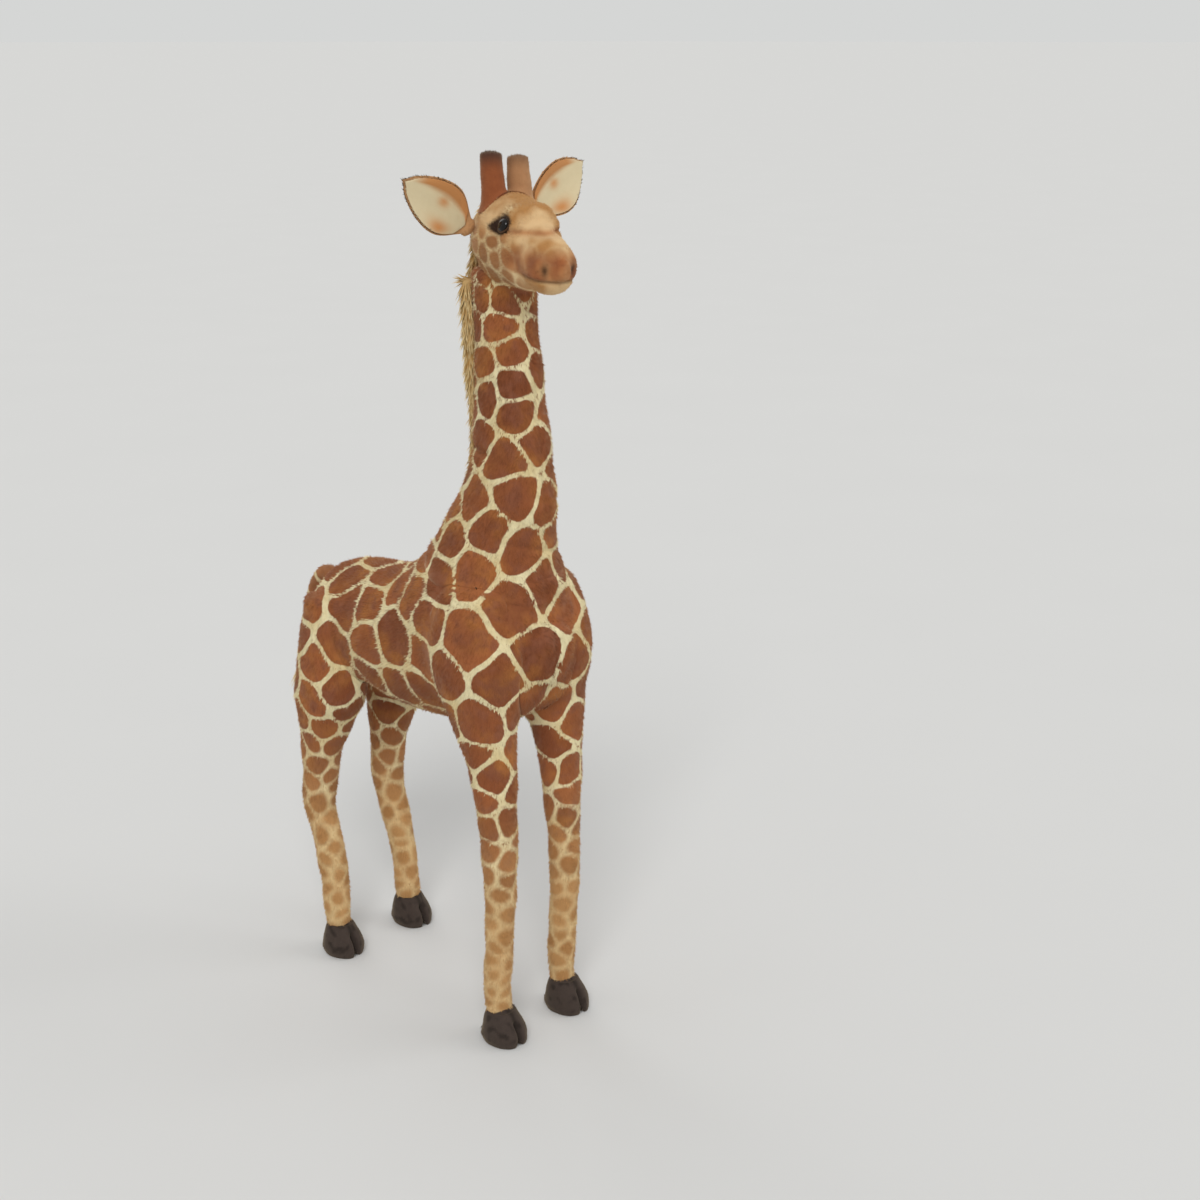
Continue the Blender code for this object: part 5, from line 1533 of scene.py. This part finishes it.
sewn("mane_backing", mane, LONG_PILE, "neck", ["mane"], mane_paint(mane))
outer = ease(0, 1.5 * MM, neck_form.depth(mane.points)) * above_foot(mane)
reach = between(7 * MM, 16 * MM, ease(0.62, 0.80, mane.points[:, 2]))
combed = np.array([0, 0.1, -1.0]) + ease(0.4, 0.8, mane.ways[:, 2:]) * np.array([0, 2.0, 0])
locks(
    "mane_locks", mane, LONG_PILE, "neck", "long_pile", mane_paint(mane), combed, reach,
    keep=outer, width=1.7 * MM, spacing=1.6 * MM, lie=17, droop=0.12, tousle=0.10, **LONG_LOCKS,
)

nape_back = NECK_TOP_FORWARD - NECK_TOP_DEPTH / 2
route = [
    at(nape_back + 3 * MM, 0, NECK_SEAM_HEIGHT - 6 * MM),
    at(nape_back + 3 * MM, 0, NECK_SEAM_HEIGHT + NAPE_HEIGHT * 0.35),
    *(surface_spot(HEAD_ROWS, along, 0.25)[0] - np.array([0, 0, 2 * MM]) for along in POLL_ALONG_SHARES),
]
rows = []
for step, place in enumerate(route):
    fade = between(1.0, 0.42, step / (len(route) - 1))
    rows.append(strip_row(place, fade))
poll = fitted(Form(rows, UP, 3 * MM, 36, in_head=True, bulge=0.5))
sewn("poll_backing", poll, LONG_PILE, "head", ["poll_mane"], mane_paint(poll))
outer = ease(0, 2 * MM, np.minimum(head_form.depth(poll.points), neck_form.depth(poll.points)))
nape = open_skin(head, 2 * MM) * ease(0.35, 0.6, head.ways @ turned_way(np.array([0, 1.0, 0])))
nape *= 1 - ease(13 * MM, 19 * MM, np.abs(head_local[:, 0] - MIDDLE_LEFT))
for name, skin, keep in (("poll", poll, outer * above_foot(poll)), ("nape", head, nape)):
    locks(
        f"{name}_locks", skin, LONG_PILE, "head", "long_pile", mane_paint(skin),
        turned_way(np.array([0, 0.6, -0.8])), 12 * MM, keep=keep, width=1.6 * MM, spacing=1.6 * MM, lie=20,
        droop=0.2, tousle=0.10, **LONG_LOCKS,
    )


# Tail

root = TAIL_SPOT + unit(TAIL_OUT + np.array([0, 1.0, 0])) * (TAIL_ROOT_WIDTH / 2 - TAIL_ROOT_SINK)
rows = []
for step, (reach, drop) in enumerate(TAIL_SHARES):
    radius = between(TAIL_ROOT_WIDTH, TAIL_END_WIDTH, step / 5) / 2
    rows.append((*(root + np.array([0, TAIL_REACH * reach, -TAIL_DROP * drop])), radius, radius))


def bent_skin(rows, sides=32):
    """A round tail: rings square to a path that turns from level to hanging."""
    path, poles = capped(smooth_path(np.array(rows, float), 3 * MM), 1.15)
    centre = path[:, :3]
    along = unit(np.gradient(centre, axis=0))
    deep = np.cross(along, LEFT)
    turn = np.arange(sides) * TAU / sides
    loop = LEFT * np.cos(turn)[None, :, None] + deep[:, None] * np.sin(turn)[None, :, None]
    points = (centre[:, None] + loop * path[:, 3, None, None]).reshape(-1, 3)
    return Skin(np.vstack([points, poles]), len(path), sides)


tail = bent_skin(rows)
tail.move(np.full(len(tail.points), -PILE_DEPTH / 2))
tail_spots = np.array([row[:3] for row in rows[1:]])
tail_spots[:, 0] += np.array([6, -6, 6, -6, 6]) * MM
tail_paint = print_of(tail.points, tail_spots, tones[:5], no_zones(tail.points) + (0.2, 0, 0, 0))
plushed(
    "tail", tail, COAT, "tail", "plush_brown", tail_paint, 0.7, np.array([0, 0.5, -0.9]), 4.5 * MM,
    width=1.5 * MM, spacing=1.5 * MM, lie=24,
)
end = np.array(rows[-1][:3])
rows = []
for down, half in TUFT_SHARES:
    centre = end - np.array([0, 0, TUFT_LENGTH * 0.9 * down + TAIL_END_WIDTH / 3])
    rows.append((*centre, TUFT_WIDTH * half * 0.7, TUFT_DEPTH * half * 0.7))
tuft = fitted(Form(rows[::-1], UP, 3 * MM, 32))
sewn("tuft_backing", tuft, LONG_PILE, "tuft", ["tail_tuft"], mane_paint(tuft))
locks(
    "tuft_locks", tuft, LONG_PILE, "tuft", "long_pile", mane_paint(tuft), -UP, 22 * MM,
    keep=1 - ease(0.35, 0.6, tuft.ways[:, 2]), width=1.8 * MM, spacing=1.6 * MM, lie=14, droop=0.3,
    tousle=0.12, **LONG_LOCKS,
)


# What is sewn inside

INNER_FINISHES = {"wire": STEEL, "binding": TAPE, "washer": NYLON}
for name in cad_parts:
    for word, finish in INNER_FINISHES.items():
        if word in name:
            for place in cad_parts[name].material_slots:
                place.material = finish


# Camera, floor and light

def looking(name, data, place, target):
    """An object that looks from a place to a target."""
    made = bpy.data.objects.new(name, data)
    bpy.context.scene.collection.objects.link(made)
    direction = np.array(target) - np.array(place)
    back = -unit(direction)
    right = unit(np.cross(UP, back))
    up = np.cross(back, right)
    axes = Matrix(np.stack([right, up, back], 1).tolist())
    made.matrix_world = Matrix.LocRotScale(place, axes.to_quaternion(), None)
    return made


turn = math.radians(CAMERA_TURN)
yaw = math.radians(CAMERA_TURN + CAMERA_YAW)
pitch = math.radians(CAMERA_PITCH)
stand = at(CAMERA_DISTANCE * math.cos(turn), -CAMERA_DISTANCE * math.sin(turn), CAMERA_HEIGHT)
look = np.array([math.sin(yaw) * math.cos(pitch), math.cos(yaw) * math.cos(pitch), -math.sin(pitch)])
lens = bpy.data.cameras.new("photograph")
lens.lens = CAMERA_LENS
lens.sensor_width = SENSOR_WIDTH
lens.clip_start = 0.05
bpy.context.scene.camera = looking("photograph", lens, stand, stand + look)


def sun(name, place, width, power):
    """A distant soft light: as bright everywhere, with its shadow's edge as soft as it is wide."""
    lamp = bpy.data.lights.new(name, "SUN")
    lamp.angle = math.radians(width)
    lamp.energy = power
    return looking(name, lamp, place, (0, 0, 0.5))


sun("key_softbox", (-2.2, -2.0, 3.0), 26, 1.45)
sun("fill_softbox", (2.4, -2.2, 2.0), 40, 0.55)
sun("back_softbox", (0.6, 2.8, 2.6), 40, 0.35)

world = bpy.data.worlds.new("studio")
bpy.context.scene.world = world
world.use_nodes = True
studio = world.node_tree
seen = add(studio, "ShaderNodeLightPath")
paper_seen = math_of(studio, "MAXIMUM", seen.outputs["Is Camera Ray"], seen.outputs["Is Glossy Ray"])
paper_seen = math_of(studio, "MAXIMUM", paper_seen, seen.outputs["Is Transmission Ray"])
room = add(studio, "ShaderNodeBackground", {"Color": linear("#f5f5f5"), "Strength": 0.62})
backdrop = add(studio, "ShaderNodeBackground", {"Color": linear("#d5d6d5"), "Strength": 1.0})
both = add(studio, "ShaderNodeMixShader", {0: paper_seen, 1: room.outputs[0], 2: backdrop.outputs[0]})
studio.links.new(both.outputs[0], studio.nodes["World Output"].inputs["Surface"])

FLOOR_REACH = 400
FLOOR_CORNERS = ((-1, -1), (1, -1), (1, 1), (-1, 1))
floor_mesh = bpy.data.meshes.new("studio_floor")
floor_places = [(x * FLOOR_REACH, y * FLOOR_REACH, 0) for x, y in FLOOR_CORNERS]
floor_mesh.from_pydata(floor_places, [], [(0, 1, 2, 3)])
floor = bpy.data.objects.new("studio_floor", floor_mesh)
bpy.context.scene.collection.objects.link(floor)
paper, paper_tree, paper_shader = blank("matt_studio_paper")
paper_noise = pile_noise(paper_tree, 3)
paper_tree.links.new(
    mixed(paper_tree, paper_noise, linear("#d6d6d4"), linear("#d8d8d6")), paper_shader.inputs["Base Color"]
)
paper_shader.inputs["Roughness"].default_value = 1.0
paper_shader.inputs["Specular IOR Level"].default_value = 0.0
floor_mesh.materials.append(paper)

bpy.context.scene.view_settings.view_transform = "Standard"


def corners(box):
    return [[float(value) for value in corner] for corner in box]
